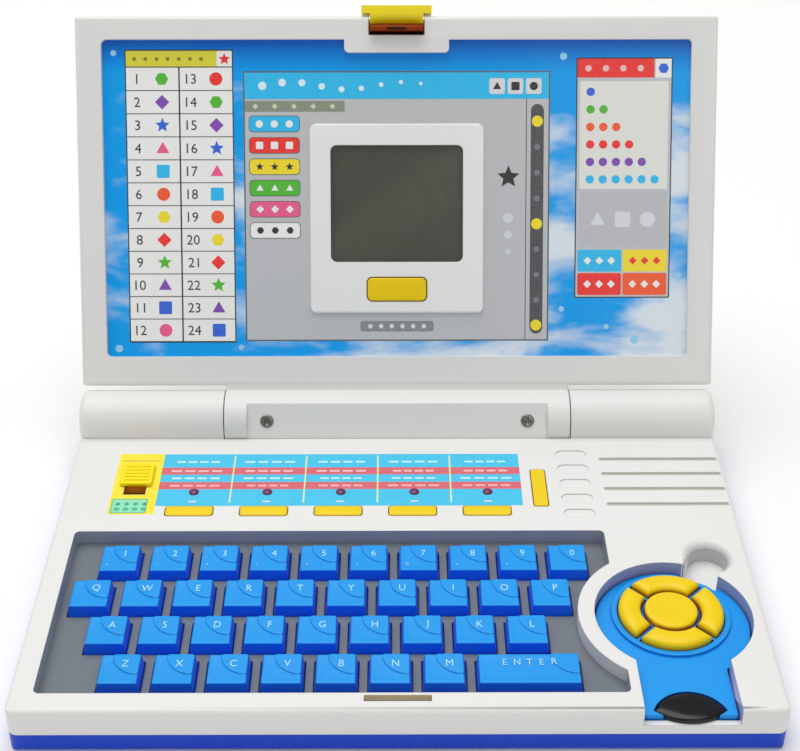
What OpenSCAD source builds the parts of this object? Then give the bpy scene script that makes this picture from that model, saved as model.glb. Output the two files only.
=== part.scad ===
// Toy laptop computer: a keyboard base, a hinged lid with a small screen and a
// pocket mouse that docks in the base. Millimetres, +Z up, +Y towards the hinge,
// origin at the centre of the base's underside. The lid is drawn standing open.

/* [Keyboard] */
// Distance between key centres along a row
key_pitch_x = 18.8; // [17.6:0.1:19]
// Distance between rows of keys
key_pitch_y = 19.6; // [18.6:0.1:22]
// Width of a key at its foot
key_w = 15.2; // [13:0.1:15.6]
// Depth of a key at its foot
key_d = 15.6; // [13:0.1:16.2]
// Height of a key above the grey key deck
key_h = 4.8; // [4:0.1:5.2]
// How far each side of a key leans in towards its top
key_taper = 0.8; // [0.3:0.1:1.4]
// Width of the wide key
enter_w = 36.6; // [24:0.1:38]
// Depth of the keyboard recess below the deck
recess_depth = 6; // [5.6:0.1:7]
// How far a key travels
key_travel = 1.8; // [1:0.1:2]

/* [Base] */
// Height of the base, underside to deck
base_h = 19; // [18.5:0.5:24]
// Height of the coloured lower shell
seam_z = 8; // [6.5:0.5:9]
// Wall thickness of the casings
wall = 2; // [1.6:0.1:2.2]
// Corner radius of the base and the lid, seen from above
corner_r = 3.6; // [3:0.2:9]
// Rounding of the outer edges
edge_r = 2; // [1:0.25:2.5]
// White rim in front of the keyboard recess
front_rim = 8.7; // [8.5:0.1:14]
// White rim beside the keyboard recess
side_rim = 8.5; // [6:0.5:16]
// Deck from the back of the keyboard recess to the hinge axis
control_d = 72.4; // [72.4:0.2:90]
// Gap round a casing part or a cell that only has to clear its neighbour
fit = 0.3; // [0.2:0.05:0.4]
// Gap round a button in its hole, and between sliding pieces
play = 0.4; // [0.3:0.05:0.5]

/* [Mouse dock] */
// Radius of the round end of the dock
dock_r = 28.4; // [27:0.1:30]
// Width of the dock's neck
dock_neck_w = 33; // [30:0.5:36]
// Distance from the keyboard recess to the dock's centre
dock_from_recess = 20; // [20:0.5:30]
// Distance from the dock's centre to the side of the base
dock_from_side = 33.1; // [33:0.1:44]
// Distance from the front of the base to the dock's centre
dock_from_front = 47.3; // [45:0.1:50]
// White ring left round the dock where it meets the keyboard
dock_ring = 6; // [5:0.1:6.4]
// Radius of the finger pocket behind the dock
pocket_r = 7.4; // [6.6:0.1:8.2]
// Width of the finger notch between pocket and mouse
notch_w = 14; // [9:0.2:14.2]

/* [Mouse] */
// Height of the mouse's deck above the underside of the base
mouse_deck_z = 14; // [13.5:0.1:14.5]
// Radius of the raised disc round the mouse buttons
disc_r = 21.6; // [20.6:0.1:22.6]
// Outer radius of the four direction buttons
ring_r = 19.2; // [18:0.1:20]
// Inner radius of the four direction buttons
ring_in_r = 10.8; // [10.4:0.1:12]
// Radius of the centre button
ok_r = 9.6; // [8:0.1:9.8]
// Radius of the dark window's rear edge
window_r = 13.1; // [12:0.1:14]

/* [Controls] */
// Width of a function button
function_w = 18.4; // [14:0.2:20]
// Distance between function buttons
function_pitch = 29.2; // [26:0.1:30]
// Depth of a function button
function_d = 5.6; // [4.4:0.1:6]
// Length of the upright power bar
power_d = 23.3; // [16:0.1:24]
// Width of the upright power bar
power_w = 5.5; // [4:0.1:6]
// How far a control button travels
button_travel = 1.2; // [0.8:0.1:1.4]
// Travel of the activity slider
slider_travel = 6.5; // [5:0.1:7]
// Number of speaker slots
slot_count = 4; // [3:1:4]
// Distance between speaker slots
slot_pitch = 9.8; // [8:0.1:10]
// Speaker diameter
speaker_d = 39; // [30:0.5:40]

/* [Lid] */
// Angle of the lid from shut to open
lid_open = 117.7; // [100:0.1:125]
// Thickness of the lid
lid_t = 16; // [15.5:0.5:20]
// Radius of the hinge barrels
barrel_r = 12; // [11.8:0.1:12.4]
// Half length of the lid's own barrel
lid_barrel_half = 71.9; // [66:0.1:76]
// Radius of the lid's hinge stubs
stub_r = 4; // [3:0.1:5]
// Running clearance round a stub or a pin, on the radius
running = 0.06; // [0.03:0.01:0.1]
// Bezel at the sides of the picture
bezel_side = 10.8; // [10:0.1:16]
// Bezel below the picture
bezel_low = 12.3; // [12:0.1:18]
// Bezel above the picture
bezel_top = 9.5; // [9.5:0.1:14]
// Depth of the picture below the bezel
picture_depth = 2.4; // [2.2:0.1:2.8]
// Width of the raised screen surround
surround_w = 72.4; // [70:0.2:80]
// Height of the raised screen surround
surround_h = 78.6; // [76:0.2:82]
// Width of the screen opening
screen_w = 55.1; // [44:0.1:58]
// Height of the screen opening
screen_h = 48.4; // [40:0.1:50]
// Width of the button under the screen
screen_button_w = 24.6; // [16:0.1:28]
// Height of the button under the screen
screen_button_h = 9.6; // [6:0.1:10.4]
// Width of the latch in its notch
latch_w = 22; // [16:0.5:24]

/* [Power] */
// Diameter of a battery cell
cell_d = 14.4; // [10.5:0.1:14.5]
// Length of a battery cell
cell_l = 50.5; // [44:0.1:50.5]
// Number of battery cells in a row
cell_count = 3; // [2:1:3]

/* [Hidden] */
ROW_TWO = "qwertyuiop";
ROW_THREE = "asdfghjkl";
ROW_FOUR = "zxcvbnm";
LETTER_ROWS = [ROW_TWO, ROW_THREE, ROW_FOUR];
function_count = 5;
$fn = 64;
eps = 0.01;
white = "#e9e9e7";
blue = "#1e46b8";
bright_blue = "#2ea4f5";
yellow = "#ffd800";
grey = "#7f8388";
green = "#1f6b3a";
steel = "#8d8f92";

// Keyboard layout
row_shift = [8, 0, 8.9, 16.3];
row_count = [10, 10, 9, 7];
kb_side_gap = 3.5;
kb_end_gap = 7.5;
kb_front_gap = 5.3;
kb_rear_gap = 6.2;
recess_w = kb_side_gap + row_shift[0] + 9 * key_pitch_x + key_w + kb_end_gap;
recess_d = kb_front_gap + 3 * key_pitch_y + key_d + kb_rear_gap;
recess_r = 2;
recess_wall = 1.4;

// Overall sizes and the places that follow from them
base_w = side_rim + recess_w + dock_from_recess + dock_from_side;
hinge_from_front = front_rim + recess_d + control_d;
base_d = hinge_from_front + barrel_r;
half_w = base_w / 2;
front_y = -base_d / 2;
hinge_y = front_y + hinge_from_front;
close_gap = 0.4;
lid_face = 1.5;
hinge_z = base_h + close_gap + lid_face;
recess_x0 = -half_w + side_rim;
recess_x1 = recess_x0 + recess_w;
recess_y0 = front_y + front_rim;
recess_y1 = recess_y0 + recess_d;
dock_x = half_w - dock_from_side;
dock_y = front_y + dock_from_front;
deck_under_z = base_h - wall;

// Stack of keys, sheet and board under the recess
deck_t = 1.7;
key_deck_z = base_h - recess_depth;
board_t = 1.6;
board_z = wall + 1.2;
sheet_z = board_z + board_t;
sheet_t = 1;
dome_h = 1;
dome_r = 3;
flange_t = 1.4;
flange_lip = 0.9;
key_roof = 1.3;
key_side = 1.2;
post_r = 2;
key_step = 0.35;
key_arc_r = 9.8;
key_foot_z = key_deck_z - deck_t - play - flange_t;
key_post_z = sheet_z + sheet_t + dome_h + fit + key_travel;
sheet_rim = 2;

// Hinge and trough
trough_r = barrel_r + 0.5;
barrel_gap = 0.4;
end_wall = 3;
lip_z = base_h - 6;
stub_l = 4.6;
barrel_end_r = 3;
lid_corner_less = 1.4;
barrel_wall = 2.1;

// Lid, in its own frame: u runs up the lid from the hinge axis, n points out of its face
lid_u0 = barrel_r + 1.9;
lid_inset = 0.2;
lid_u1 = hinge_from_front - lid_inset;
lid_h = lid_u1 - lid_u0;
lid_back = lid_face - lid_t;
lid_seam = lid_face - lid_t / 2;
picture_u0 = lid_u0 + bezel_low;
picture_u1 = lid_u1 - bezel_top;
picture_hw = half_w - bezel_side;
picture_t = 1;
panel_n = lid_face - picture_depth;
tray_n = panel_n - picture_t;
tray_t = 1.6;
tab_hw = 21.6;
tab_drop = 5.4;
surround_u0 = lid_u0 + 30.6;
surround_n = panel_n + 1.3;
surround_r = 3;
// Plain height of the surround, shared out below, between and above the button and the screen
surround_spare_h = surround_h - screen_h - screen_button_h;
button_u0 = surround_u0 + 0.248 * surround_spare_h;
screen_u0 = button_u0 + screen_button_h + 0.32 * surround_spare_h;
screen_r = 2.6;
pane_lip = 1.5;
pane_n = surround_n - 1.1;
pane_t = 1.2;
pane_fit = 0.05;
lcd_t = 2.4;
screen_over = 0.6;
screen_flange_t = 1.2;
screen_travel = 1;
switch_h = 1.2;
screen_foot_n = tray_n - tray_t - play - screen_flange_t;
lid_board_n = screen_foot_n - screen_travel - fit - switch_h;
lid_board_t = 1.6;
facet_half = lid_barrel_half - 9.4;
facet_n = 9.5;
hinge_screw_x = facet_half - 8.2;
neck_n1 = 1;
neck_n0 = -10.5;
boss_r = 2.6;
screw_r = 1.1;
screw_head_r = 2;
screw_head_t = 1.4;
boss_inset = 6.3;

// Latch, placed from its catch slot in the front of the base
catch_y0 = 4.75;
catch_w = 2.8;
tongue_t = 1.2;
tongue_u1 = hinge_from_front - catch_y0 - 0.45;
tongue_u0 = tongue_u1 - tongue_t;
tongue_tip_n = lid_face + 4.3;
barb = 1;
pin_r = 1.5;
pin_u = lid_u1 - 3.6;
pin_n = -9;
ear_t = 2;
latch_play = 0.5;
notch_n0 = lid_back + wall + 0.6;
tab_gap = 1;
tab_t = 3.2;
tab_over = 3.4;

// Dock and mouse
tray_wall = 1.6;
dock_z = wall + 2.2;
sill_z = seam_z + 4;
dock_front = wall + fit;
pocket_z = base_h - 9.4;
pocket_from_dock = 37.3;
pocket_bevel = 3;
pocket_dir = 61;
mouse_fit = 0.7;
mouse_z = dock_z + fit;
mouse_seam_z = seam_z + 0.5;
mouse_neck_w = dock_neck_w - 2 * mouse_fit;
mouse_r = dock_r - mouse_fit;
mouse_front = dock_front + play;
mouse_wall = 1.6;
disc_h = 1;
buttons_back = 4.7;
buttons_y = dock_y + buttons_back;
notch_land = 1.2;
notch_in_r = buttons_back * sin(pocket_dir) + ring_r + fit + notch_land + mouse_fit;
ring_gap = 0.8;
ring_top_z = mouse_deck_z + 4;
ok_top_z = ring_top_z - 0.5;
window_y = front_y + 0.4;
window_front_r = 18.3;
window_front_y = window_y + window_front_r;
window_low_z = sill_z + fit;

// Controls behind the keyboard
function_y = recess_y1 + 12.3;
lamp_from_keys = 24.2;
lamp_y = recess_y1 + lamp_from_keys;
lamp_r = 1.2;
control_board_z = seam_z;
function_z0 = deck_under_z - 4.5;
button_over = 0.5;
power_from_side = 22.7;
power_x = recess_x1 - power_from_side;
power_from_keys = 26.8;
power_y = recess_y1 + power_from_keys;
slider_from_side = 27.9;
slider_x = -half_w + slider_from_side;
function_row_shift = 0.75;
function_x0 = (slider_x + power_x) / 2 + function_row_shift - (function_count - 1) / 2 * function_pitch;
control_board_rim = 10.4;
slider_from_keys = 34.4;
slider_y = recess_y1 + slider_from_keys;
slider_w = 13;
slider_d = 13.6;
slider_slot_w = 8.8;
slider_stem_d = 8;
slider_slot_y0 = slider_y - 5.1 - slider_travel;
speaker_from_side = 25.7;
speaker_x = half_w - speaker_from_side;
speaker_from_keys = 31;
speaker_y = recess_y1 + speaker_from_keys;
slot_len = 48.5;
slot_w = 1.9;
oval_from_side = 8.1;
oval_x = recess_x1 - oval_from_side;
oval_w = 12.4;
oval_d = 5.5;
oval_pitch = 9.6;
oval_count = 5;

// Battery bay
cell_gap = 0.25;
bay_wall = 1.4;
bay_in_w = cell_count * cell_l + 4;
bay_in_d = cell_d + 2 * cell_gap;
bay_rear = hinge_y - trough_r - wall - fit;
bay_y = bay_rear - bay_wall - bay_in_d / 2;
bay_x = -8;
door_t = wall - fit;
door_lip = 1.5;
cell_z = wall + cell_gap + cell_d / 2;

// Screws that close the base, from the left and the front of the base
base_screw_front = [-half_w + 14, -40, 40, half_w - 10.5];
base_screw_rear = [-half_w + 10.5, bay_x - bay_in_w / 2 - 7.5, bay_x + bay_in_w / 2 + 7.5, half_w - 8.5];
screw_front_y = front_y + 4.7;
screw_rear_y = hinge_y - trough_r - wall - 4.4;
base_boss_r = 2.3;

// --- shapes used by several pieces ---

// Rectangle with round corners, centred
module rrect(w, d, r) {
    square([w - 2 * r, d], center = true);
    square([w, d - 2 * r], center = true);
    for (x = [-1, 1], y = [-1, 1])
        translate([x * (w / 2 - r), y * (d / 2 - r)]) circle(r);
}

// Side view of a slab with its lower and upper edges rounded
module side_profile(w, h, low_r, top_r) {
    translate([-w / 2, low_r]) square([w, h - low_r - top_r]);
    if (low_r > 0) {
        translate([-w / 2 + low_r, 0]) square([w - 2 * low_r, low_r + eps]);
        for (s = [-1, 1]) translate([s * (w / 2 - low_r), low_r]) circle(low_r);
    }
    if (top_r > 0) {
        translate([-w / 2 + top_r, h - top_r - eps]) square([w - 2 * top_r, top_r + eps]);
        for (s = [-1, 1]) translate([s * (w / 2 - top_r), h - top_r]) circle(top_r);
    }
}

// Slab with round corners in plan and rounded lower and upper edges
module edge_block(w, d, h, plan_r, low_r, top_r) {
    intersection() {
        linear_extrude(h) rrect(w, d, plan_r);
        rotate([90, 0, 0]) translate([0, 0, -d / 2]) linear_extrude(d) side_profile(w, h, low_r, top_r);
        rotate([90, 0, 90]) translate([0, 0, -w / 2]) linear_extrude(w) side_profile(d, h, low_r, top_r);
    }
}

// Block whose four sides lean in towards the top
module tapered_block(w, d, h, taper) {
    intersection() {
        rotate([90, 0, 0]) translate([0, 0, -d / 2]) linear_extrude(d)
            polygon([[-w / 2, 0], [w / 2, 0], [w / 2 - taper, h], [-w / 2 + taper, h]]);
        rotate([90, 0, 90]) translate([0, 0, -w / 2]) linear_extrude(w)
            polygon([[-d / 2, 0], [d / 2, 0], [d / 2 - taper, h], [-d / 2 + taper, h]]);
    }
}

// Round bar along X between two stations
module x_bar(x0, x1, r) {
    translate([x0, 0, 0]) rotate([0, 90, 0]) cylinder(r = r, h = x1 - x0);
}

module at_hinge() {
    translate([0, hinge_y, hinge_z]) children();
}

// Puts the lid's own frame (x, u, n) into its open place
module lid_place() {
    at_hinge() rotate([180 - lid_open, 0, 0]) children();
}

// Box in the lid's frame, by its two corners
module lid_box(x0, x1, u0, u1, n0, n1) {
    translate([x0, u0, n0]) cube([x1 - x0, u1 - u0, n1 - n0]);
}

// Pan-head screw that points up, its head's seat at z = 0
module screw(shank_l) {
    cylinder(r = screw_r, h = shank_l);
    translate([0, 0, -screw_head_t]) difference() {
        cylinder(r = screw_head_r, h = screw_head_t);
        for (a = [0, 90]) rotate([0, 0, a]) translate([-1.1, -0.25, -eps]) cube([2.2, 0.5, 0.7]);
    }
}

// --- outlines of the openings ---

module key_opening_2d(grow) {
    difference() {
        translate([(recess_x0 + recess_x1) / 2, (recess_y0 + recess_y1) / 2])
            rrect(recess_w + 2 * grow, recess_d + 2 * grow, recess_r + grow);
        translate([dock_x, dock_y]) circle(dock_r + dock_ring - grow);
    }
}

// Dock outline; its neck runs to a line that lies front_gap behind the base's front
module dock_2d(grow, front_gap) {
    translate([dock_x, dock_y]) circle(dock_r + grow);
    translate([dock_x - dock_neck_w / 2 - grow, front_y + front_gap])
        square([dock_neck_w + 2 * grow, dock_from_front - front_gap]);
}

module pocket_place() {
    translate([dock_x, dock_y]) rotate(pocket_dir) children();
}

module notch_2d(grow) {
    pocket_place() translate([notch_in_r - grow, -notch_w / 2 - grow])
        square([pocket_from_dock - notch_in_r + grow, notch_w + 2 * grow]);
}

// --- base ---

module base_barrels(r, gap, end_cut, round_r) {
    at_hinge() for (s = [0, 1]) mirror([s, 0, 0])
        translate([lid_barrel_half + barrel_gap + gap, 0, 0]) rotate([0, 90, 0]) rotate_extrude() {
            len = half_w - end_cut - lid_barrel_half - barrel_gap - gap;
            square([r, len - round_r]);
            square([r - round_r, len]);
            translate([r - round_r, len - round_r]) intersection() {
                circle(round_r);
                square(round_r + eps);
            }
        }
}

module upper_outer() {
    translate([0, 0, seam_z]) edge_block(base_w, base_d, base_h - seam_z, corner_r, 0, edge_r);
    base_barrels(barrel_r, 0, 0, barrel_end_r);
}

module upper_cavity() {
    translate([0, 0, seam_z - eps]) linear_extrude(deck_under_z - seam_z + eps)
        rrect(base_w - 2 * wall, base_d - 2 * wall, corner_r - wall);
    base_barrels(barrel_r - wall, end_wall, wall + 1.5, eps);
}

module trough_wall() {
    intersection() {
        at_hinge() x_bar(-lid_barrel_half - barrel_gap - end_wall, lid_barrel_half + barrel_gap + end_wall,
            trough_r + wall);
        translate([-half_w, front_y, wall]) cube([base_w, base_d, deck_under_z - wall + eps]);
    }
}

module base_bosses() {
    for (x = base_screw_front) translate([x, screw_front_y, seam_z])
        cylinder(r = base_boss_r, h = deck_under_z - seam_z + eps);
    for (x = base_screw_rear) translate([x, screw_rear_y, seam_z])
        cylinder(r = base_boss_r, h = deck_under_z - seam_z + eps);
}

// Tray that holds the mouse, with the pocket and the finger notch behind it
module dock_tray() {
    translate([0, 0, wall + 0.6]) linear_extrude(seam_z - wall - 0.6) dock_2d(tray_wall, dock_front);
    translate([0, 0, seam_z]) linear_extrude(deck_under_z - seam_z + eps) dock_2d(tray_wall, 0);
    pocket_place() translate([pocket_from_dock, 0, pocket_z - tray_wall])
        cylinder(r = pocket_r + tray_wall + 1, h = deck_under_z - pocket_z + tray_wall + eps);
}

module dock_cuts() {
    translate([0, 0, dock_z]) linear_extrude(base_h) dock_2d(0, dock_front + tray_wall);
    translate([0, 0, mouse_seam_z - fit]) linear_extrude(base_h) dock_2d(0, dock_front);
    translate([dock_x - dock_neck_w / 2, front_y - 1, sill_z]) cube([dock_neck_w, dock_front + 2, base_h]);
    translate([0, 0, pocket_z]) linear_extrude(base_h) {
        pocket_place() translate([pocket_from_dock, 0]) circle(pocket_r);
        intersection() {
            notch_2d(0);
            translate([dock_x, dock_y]) difference() {
                circle(pocket_from_dock);
                circle(dock_r - 1);
            }
        }
    }
    pocket_place() translate([pocket_from_dock, 0, base_h - pocket_bevel])
        cylinder(r1 = pocket_r, r2 = pocket_r + pocket_bevel, h = pocket_bevel + eps);
}

// Floor of the finger notch, which stands in the dock under the notch in the mouse
module notch_floor() {
    translate([0, 0, dock_z - eps]) linear_extrude(pocket_z - dock_z + eps) intersection() {
        notch_2d(0);
        translate([dock_x, dock_y]) circle(dock_r + eps);
    }
}

module control_holes() {
    for (i = [0:function_count - 1]) translate([function_x0 + i * function_pitch, function_y, seam_z])
        linear_extrude(base_h) rrect(function_w + 2 * play, function_d + 2 * play, 1.4);
    for (i = [0:function_count - 1]) translate([function_x0 + i * function_pitch, lamp_y, seam_z])
        cylinder(r = lamp_r + fit, h = base_h);
    translate([power_x, power_y, seam_z]) linear_extrude(base_h)
        rrect(power_w + 2 * play, power_d + 2 * play, 1.2);
    translate([slider_x - slider_slot_w / 2, slider_slot_y0, seam_z])
        cube([slider_slot_w, slider_stem_d + slider_travel + 2 * play, base_h]);
    for (i = [0:slot_count - 1])
        translate([speaker_x, speaker_y + (i - (slot_count - 1) / 2) * slot_pitch, deck_under_z - eps])
            linear_extrude(base_h) rrect(slot_len, slot_w, 0.9);
    for (i = [0:oval_count - 1])
        translate([oval_x, speaker_y + (i - (oval_count - 1) / 2) * oval_pitch - 1.3, base_h - 0.5])
            linear_extrude(1) rrect(oval_w, oval_d, oval_d / 2 - 0.1);
    translate([-latch_w / 2 - latch_play, front_y + catch_y0, deck_under_z - eps])
        cube([latch_w + 2 * latch_play, catch_w, base_h]);
}

module base_top_shell() {
    color(white) {
        difference() {
            union() {
                difference() {
                    upper_outer();
                    upper_cavity();
                }
                translate([0, 0, key_deck_z]) linear_extrude(deck_under_z - key_deck_z + eps) difference() {
                    key_opening_2d(recess_wall);
                    key_opening_2d(0);
                }
                trough_wall();
                base_bosses();
                dock_tray();
            }
            translate([0, 0, key_deck_z - eps]) linear_extrude(base_h) key_opening_2d(0);
            dock_cuts();
            control_holes();
            at_hinge() x_bar(-lid_barrel_half - barrel_gap, lid_barrel_half + barrel_gap, trough_r);
            translate([-lid_barrel_half - barrel_gap, hinge_y, lip_z])
                cube([2 * (lid_barrel_half + barrel_gap), barrel_r + 1, 2 * barrel_r]);
            at_hinge() x_bar(-half_w + end_wall, half_w - end_wall, stub_r + running);
            for (x = base_screw_front) translate([x, screw_front_y, seam_z - eps])
                cylinder(r = screw_r + 0.05, h = 7);
            for (x = base_screw_rear) translate([x, screw_rear_y, seam_z - eps])
                cylinder(r = screw_r + 0.05, h = 7);
        }
        notch_floor();
    }
}

// Seats of the screws' heads: the floor is thickened under each boss
module lower_boss(x, y) {
    translate([x, y, 0]) cylinder(r = base_boss_r, h = seam_z);
}

module battery_bay() {
    translate([bay_x, bay_y, 0]) difference() {
        translate([0, 0, door_t + fit]) linear_extrude(deck_under_z - door_t - 2 * fit)
            square([bay_in_w + 2 * bay_wall, bay_in_d + 2 * bay_wall], center = true);
        linear_extrude(base_h) square([bay_in_w, bay_in_d], center = true);
    }
}

module base_bottom_shell() {
    color(blue) difference() {
        union() {
            difference() {
                edge_block(base_w, base_d, seam_z, corner_r, edge_r, 0);
                translate([0, 0, wall]) linear_extrude(seam_z)
                    rrect(base_w - 2 * wall, base_d - 2 * wall, corner_r - wall);
            }
            for (x = base_screw_front) lower_boss(x, screw_front_y);
            for (x = base_screw_rear) lower_boss(x, screw_rear_y);
            battery_bay();
            for (x = [recess_x0 + 8, recess_x1 - 50], y = [recess_y0 + 12, recess_y1 - 12])
                translate([x, y, 0]) cylinder(r = 3, h = board_z);
            for (x = [function_x0 - 6, power_x - 6]) translate([x, function_y - 3, 0])
                cylinder(r = 2.5, h = control_board_z);
        }
        translate([bay_x, bay_y, -eps]) linear_extrude(door_t + 2 * eps)
            square([bay_in_w + 2 * door_lip, bay_in_d + 2 * door_lip], center = true);
        translate([bay_x, bay_y, -eps]) linear_extrude(base_h) square([bay_in_w, bay_in_d], center = true);
        for (x = base_screw_front) translate([x, screw_front_y, -eps]) screw_hole();
        for (x = base_screw_rear) translate([x, screw_rear_y, -eps]) screw_hole();
    }
}

module screw_hole() {
    cylinder(r = screw_r + 0.1, h = seam_z + 1);
    cylinder(r = screw_head_r + 0.1, h = screw_head_t + 1 + eps);
}

module base_screws() {
    color(steel) {
        for (x = base_screw_front) translate([x, screw_front_y, screw_head_t + 1]) screw(seam_z + 2.4);
        for (x = base_screw_rear) translate([x, screw_rear_y, screw_head_t + 1]) screw(seam_z + 2.4);
    }
}

module battery_door() {
    color(blue) translate([bay_x, bay_y, 0]) difference() {
        linear_extrude(door_t) square(
            [bay_in_w + 2 * door_lip - 2 * fit, bay_in_d + 2 * door_lip - 2 * fit], center = true);
        for (i = [-3:3]) translate([-bay_in_w / 2 + 9 + i * 1.8 - 0.4, -5, -eps]) cube([0.8, 10, 0.5]);
    }
}

// Cells end to end in one row, with a contact plate at each end
module battery_cells() {
    for (i = [0:cell_count - 1]) translate([bay_x + (i - (cell_count - 1) / 2) * cell_l, bay_y, cell_z]) {
        color("#2f7d4f") x_bar(-cell_l / 2 + 1, cell_l / 2 - 2, cell_d / 2);
        color(steel) {
            x_bar(cell_l / 2 - 2, cell_l / 2 - 1, cell_d / 2 - 3.5);
            x_bar(cell_l / 2 - 1, cell_l / 2, cell_d / 5.3);
            x_bar(-cell_l / 2, -cell_l / 2 + 1, cell_d / 2 - 2);
        }
    }
    color(steel) for (s = [-1, 1])
        translate([bay_x + s * (bay_in_w / 2 - 1) - 1, bay_y - 4.5, cell_z - 4.5]) cube([2, 9, 9]);
}

// --- under the keyboard ---

module each_key(row) {
    for (i = [0:row_count[row] - 1]) translate([key_x(row, i), key_y(row), 0]) children();
}

function key_x(row, i) = recess_x0 + kb_side_gap + key_w / 2 + row_shift[row] + i * key_pitch_x;
function key_y(row) = recess_y0 + kb_front_gap + key_d / 2 + (3 - row) * key_pitch_y;
enter_x = key_x(3, 6) + key_w / 2 + key_pitch_x - key_w + enter_w / 2;

module key_deck() {
    color(grey) translate([0, 0, key_deck_z - deck_t]) linear_extrude(deck_t) difference() {
        key_opening_2d(recess_wall);
        for (r = [0:3]) each_key(r) square([key_w + 2 * play, key_d + 2 * play], center = true);
        translate([enter_x, key_y(3)]) square([enter_w + 2 * play, key_d + 2 * play], center = true);
    }
}

module key_dome_sheet() {
    color("#d9d9d2") {
        translate([0, 0, sheet_z]) linear_extrude(sheet_t) key_opening_2d(-sheet_rim);
        for (r = [0:3]) each_key(r) translate([0, 0, sheet_z]) cylinder(r = dome_r, h = sheet_t + dome_h);
        for (x = [-1, 1]) translate([enter_x + x * enter_w / 4, key_y(3), sheet_z])
            cylinder(r = dome_r, h = sheet_t + dome_h);
    }
}

// Main board under the keys, and control board under the buttons with its
// rubber switches and its lamps
module circuit_boards() {
    color(green) translate([0, 0, board_z]) linear_extrude(board_t) key_opening_2d(-sheet_rim);
    color(green) translate([function_x0 - control_board_rim, function_y - 8, control_board_z]) cube([
        power_x + 7 - function_x0 + control_board_rim, lamp_y - function_y + 10.2, board_t]);
    color(green) translate([power_x - 8, function_y - 8, control_board_z])
        cube([15, power_y - function_y + 14, board_t]);
    color("#c8c8c0") for (i = [0:function_count - 1])
        translate([function_x0 + i * function_pitch, function_y, control_board_z + board_t - eps])
            cylinder(r = 2.2, h = function_z0 - button_travel - fit - control_board_z - board_t);
    color("#c8c8c0") for (s = [-1, 1])
        translate([power_x, power_y + s * 6, control_board_z + board_t - eps])
            cylinder(r = 2, h = function_z0 - button_travel - fit - control_board_z - board_t);
    color("#7d2a5c") for (i = [0:function_count - 1])
        translate([function_x0 + i * function_pitch, lamp_y, control_board_z + board_t - eps]) {
            cylinder(r = lamp_r, h = base_h - control_board_z - board_t);
            translate([0, 0, base_h - control_board_z - board_t]) intersection() {
                sphere(lamp_r);
                translate([-2, -2, -eps]) cube([4, 4, 0.5]);
            }
        }
}

module speaker() {
    color("#3a3c40") translate([speaker_x, speaker_y, 0]) rotate_extrude() polygon([
        [0, deck_under_z - 8], [speaker_d * 0.25, deck_under_z - 8], [speaker_d * 0.25, deck_under_z - 4],
        [speaker_d / 2, deck_under_z - 1.6], [speaker_d / 2, deck_under_z],
        [speaker_d / 2 - 2, deck_under_z], [speaker_d * 0.2, deck_under_z - 3], [0, deck_under_z - 2]
    ]);
}

// --- keys ---

// Hollow key: a straight foot with a flange below the key deck, a leaning cap
// above it, and a raised quarter round in the cap's far right corner
module key(w) {
    cap_z = key_deck_z + key_h;
    difference() {
        union() {
            translate([-w / 2, -key_d / 2, key_foot_z]) cube([w, key_d, key_deck_z - key_foot_z + eps]);
            translate([0, 0, key_deck_z]) tapered_block(w, key_d, key_h, key_taper);
            translate([-w / 2 - flange_lip, -key_d / 2 - flange_lip, key_foot_z])
                cube([w + 2 * flange_lip, key_d + 2 * flange_lip, flange_t]);
        }
        translate([-w / 2 + key_side + key_taper, -key_d / 2 + key_side + key_taper, key_foot_z - eps])
            cube([w - 2 * (key_side + key_taper), key_d - 2 * (key_side + key_taper),
                cap_z - key_roof - key_foot_z]);
        translate([0, 0, cap_z - key_step]) difference() {
            translate([-w / 2, -key_d / 2, 0]) cube([w, key_d, 1]);
            translate([w / 2 - key_taper, key_d / 2 - key_taper, -1]) cylinder(r = key_arc_r, h = 3);
        }
    }
    for (x = w > 2 * key_d ? [-w / 4, w / 4] : [0])
        translate([x, 0, key_post_z]) cylinder(r = post_r, h = cap_z - key_roof - key_post_z + eps);
}

module letter_key(row, i) {
    color(bright_blue) translate([key_x(row, i), key_y(row), 0]) key(key_w);
}

module number_keys() {
    color(bright_blue) each_key(0) key(key_w);
}

module enter_key() {
    color(bright_blue) translate([enter_x, key_y(3), 0]) key(enter_w);
}

// --- buttons and slider on the base ---

// Flanged button in a hole of the deck, at its own centre
module deck_button(w, d, r, top) {
    intersection() {
        translate([0, 0, function_z0]) edge_block(w, d, top - function_z0, r, 0, 0.5);
        translate([-w, -d, 0]) cube([2 * w, 2 * d, 2 * base_h]);
    }
    translate([0, 0, function_z0]) linear_extrude(deck_under_z - play - function_z0)
        rrect(w + 2, d + 2, r + 1);
}

module function_button(i) {
    color(yellow) translate([function_x0 + (i - 1) * function_pitch, function_y, 0])
        deck_button(function_w, function_d, 1, base_h + button_over);
}

module power_button() {
    color(yellow) translate([power_x, power_y, 0]) deck_button(power_w, power_d, 0.8, base_h + button_over);
}

module activity_slider() {
    stem_y0 = slider_slot_y0 + slider_travel + play;
    color(yellow) {
        translate([slider_x, slider_y, base_h + play])
            edge_block(slider_w, slider_d, 1.6, 1.2, 0, 0.6);
        for (i = [-2:2])
            translate([slider_x - slider_w / 2 + 1.5, slider_y + i * 2.2 - 0.4, base_h + play + 1.5])
            cube([slider_w - 3, 0.8, 0.5]);
        translate([slider_x - slider_slot_w / 2 + play, stem_y0, deck_under_z - play - 1.4])
            cube([slider_slot_w - 2 * play, slider_stem_d, base_h - deck_under_z + 2 * play + 1.5]);
        translate([slider_x - slider_w / 2 + 0.4, stem_y0 - 1.5, deck_under_z - play - 1.4])
            cube([slider_w - 0.8, slider_stem_d + 3, 1.4]);
    }
}

// --- lid, in its own frame ---

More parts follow.
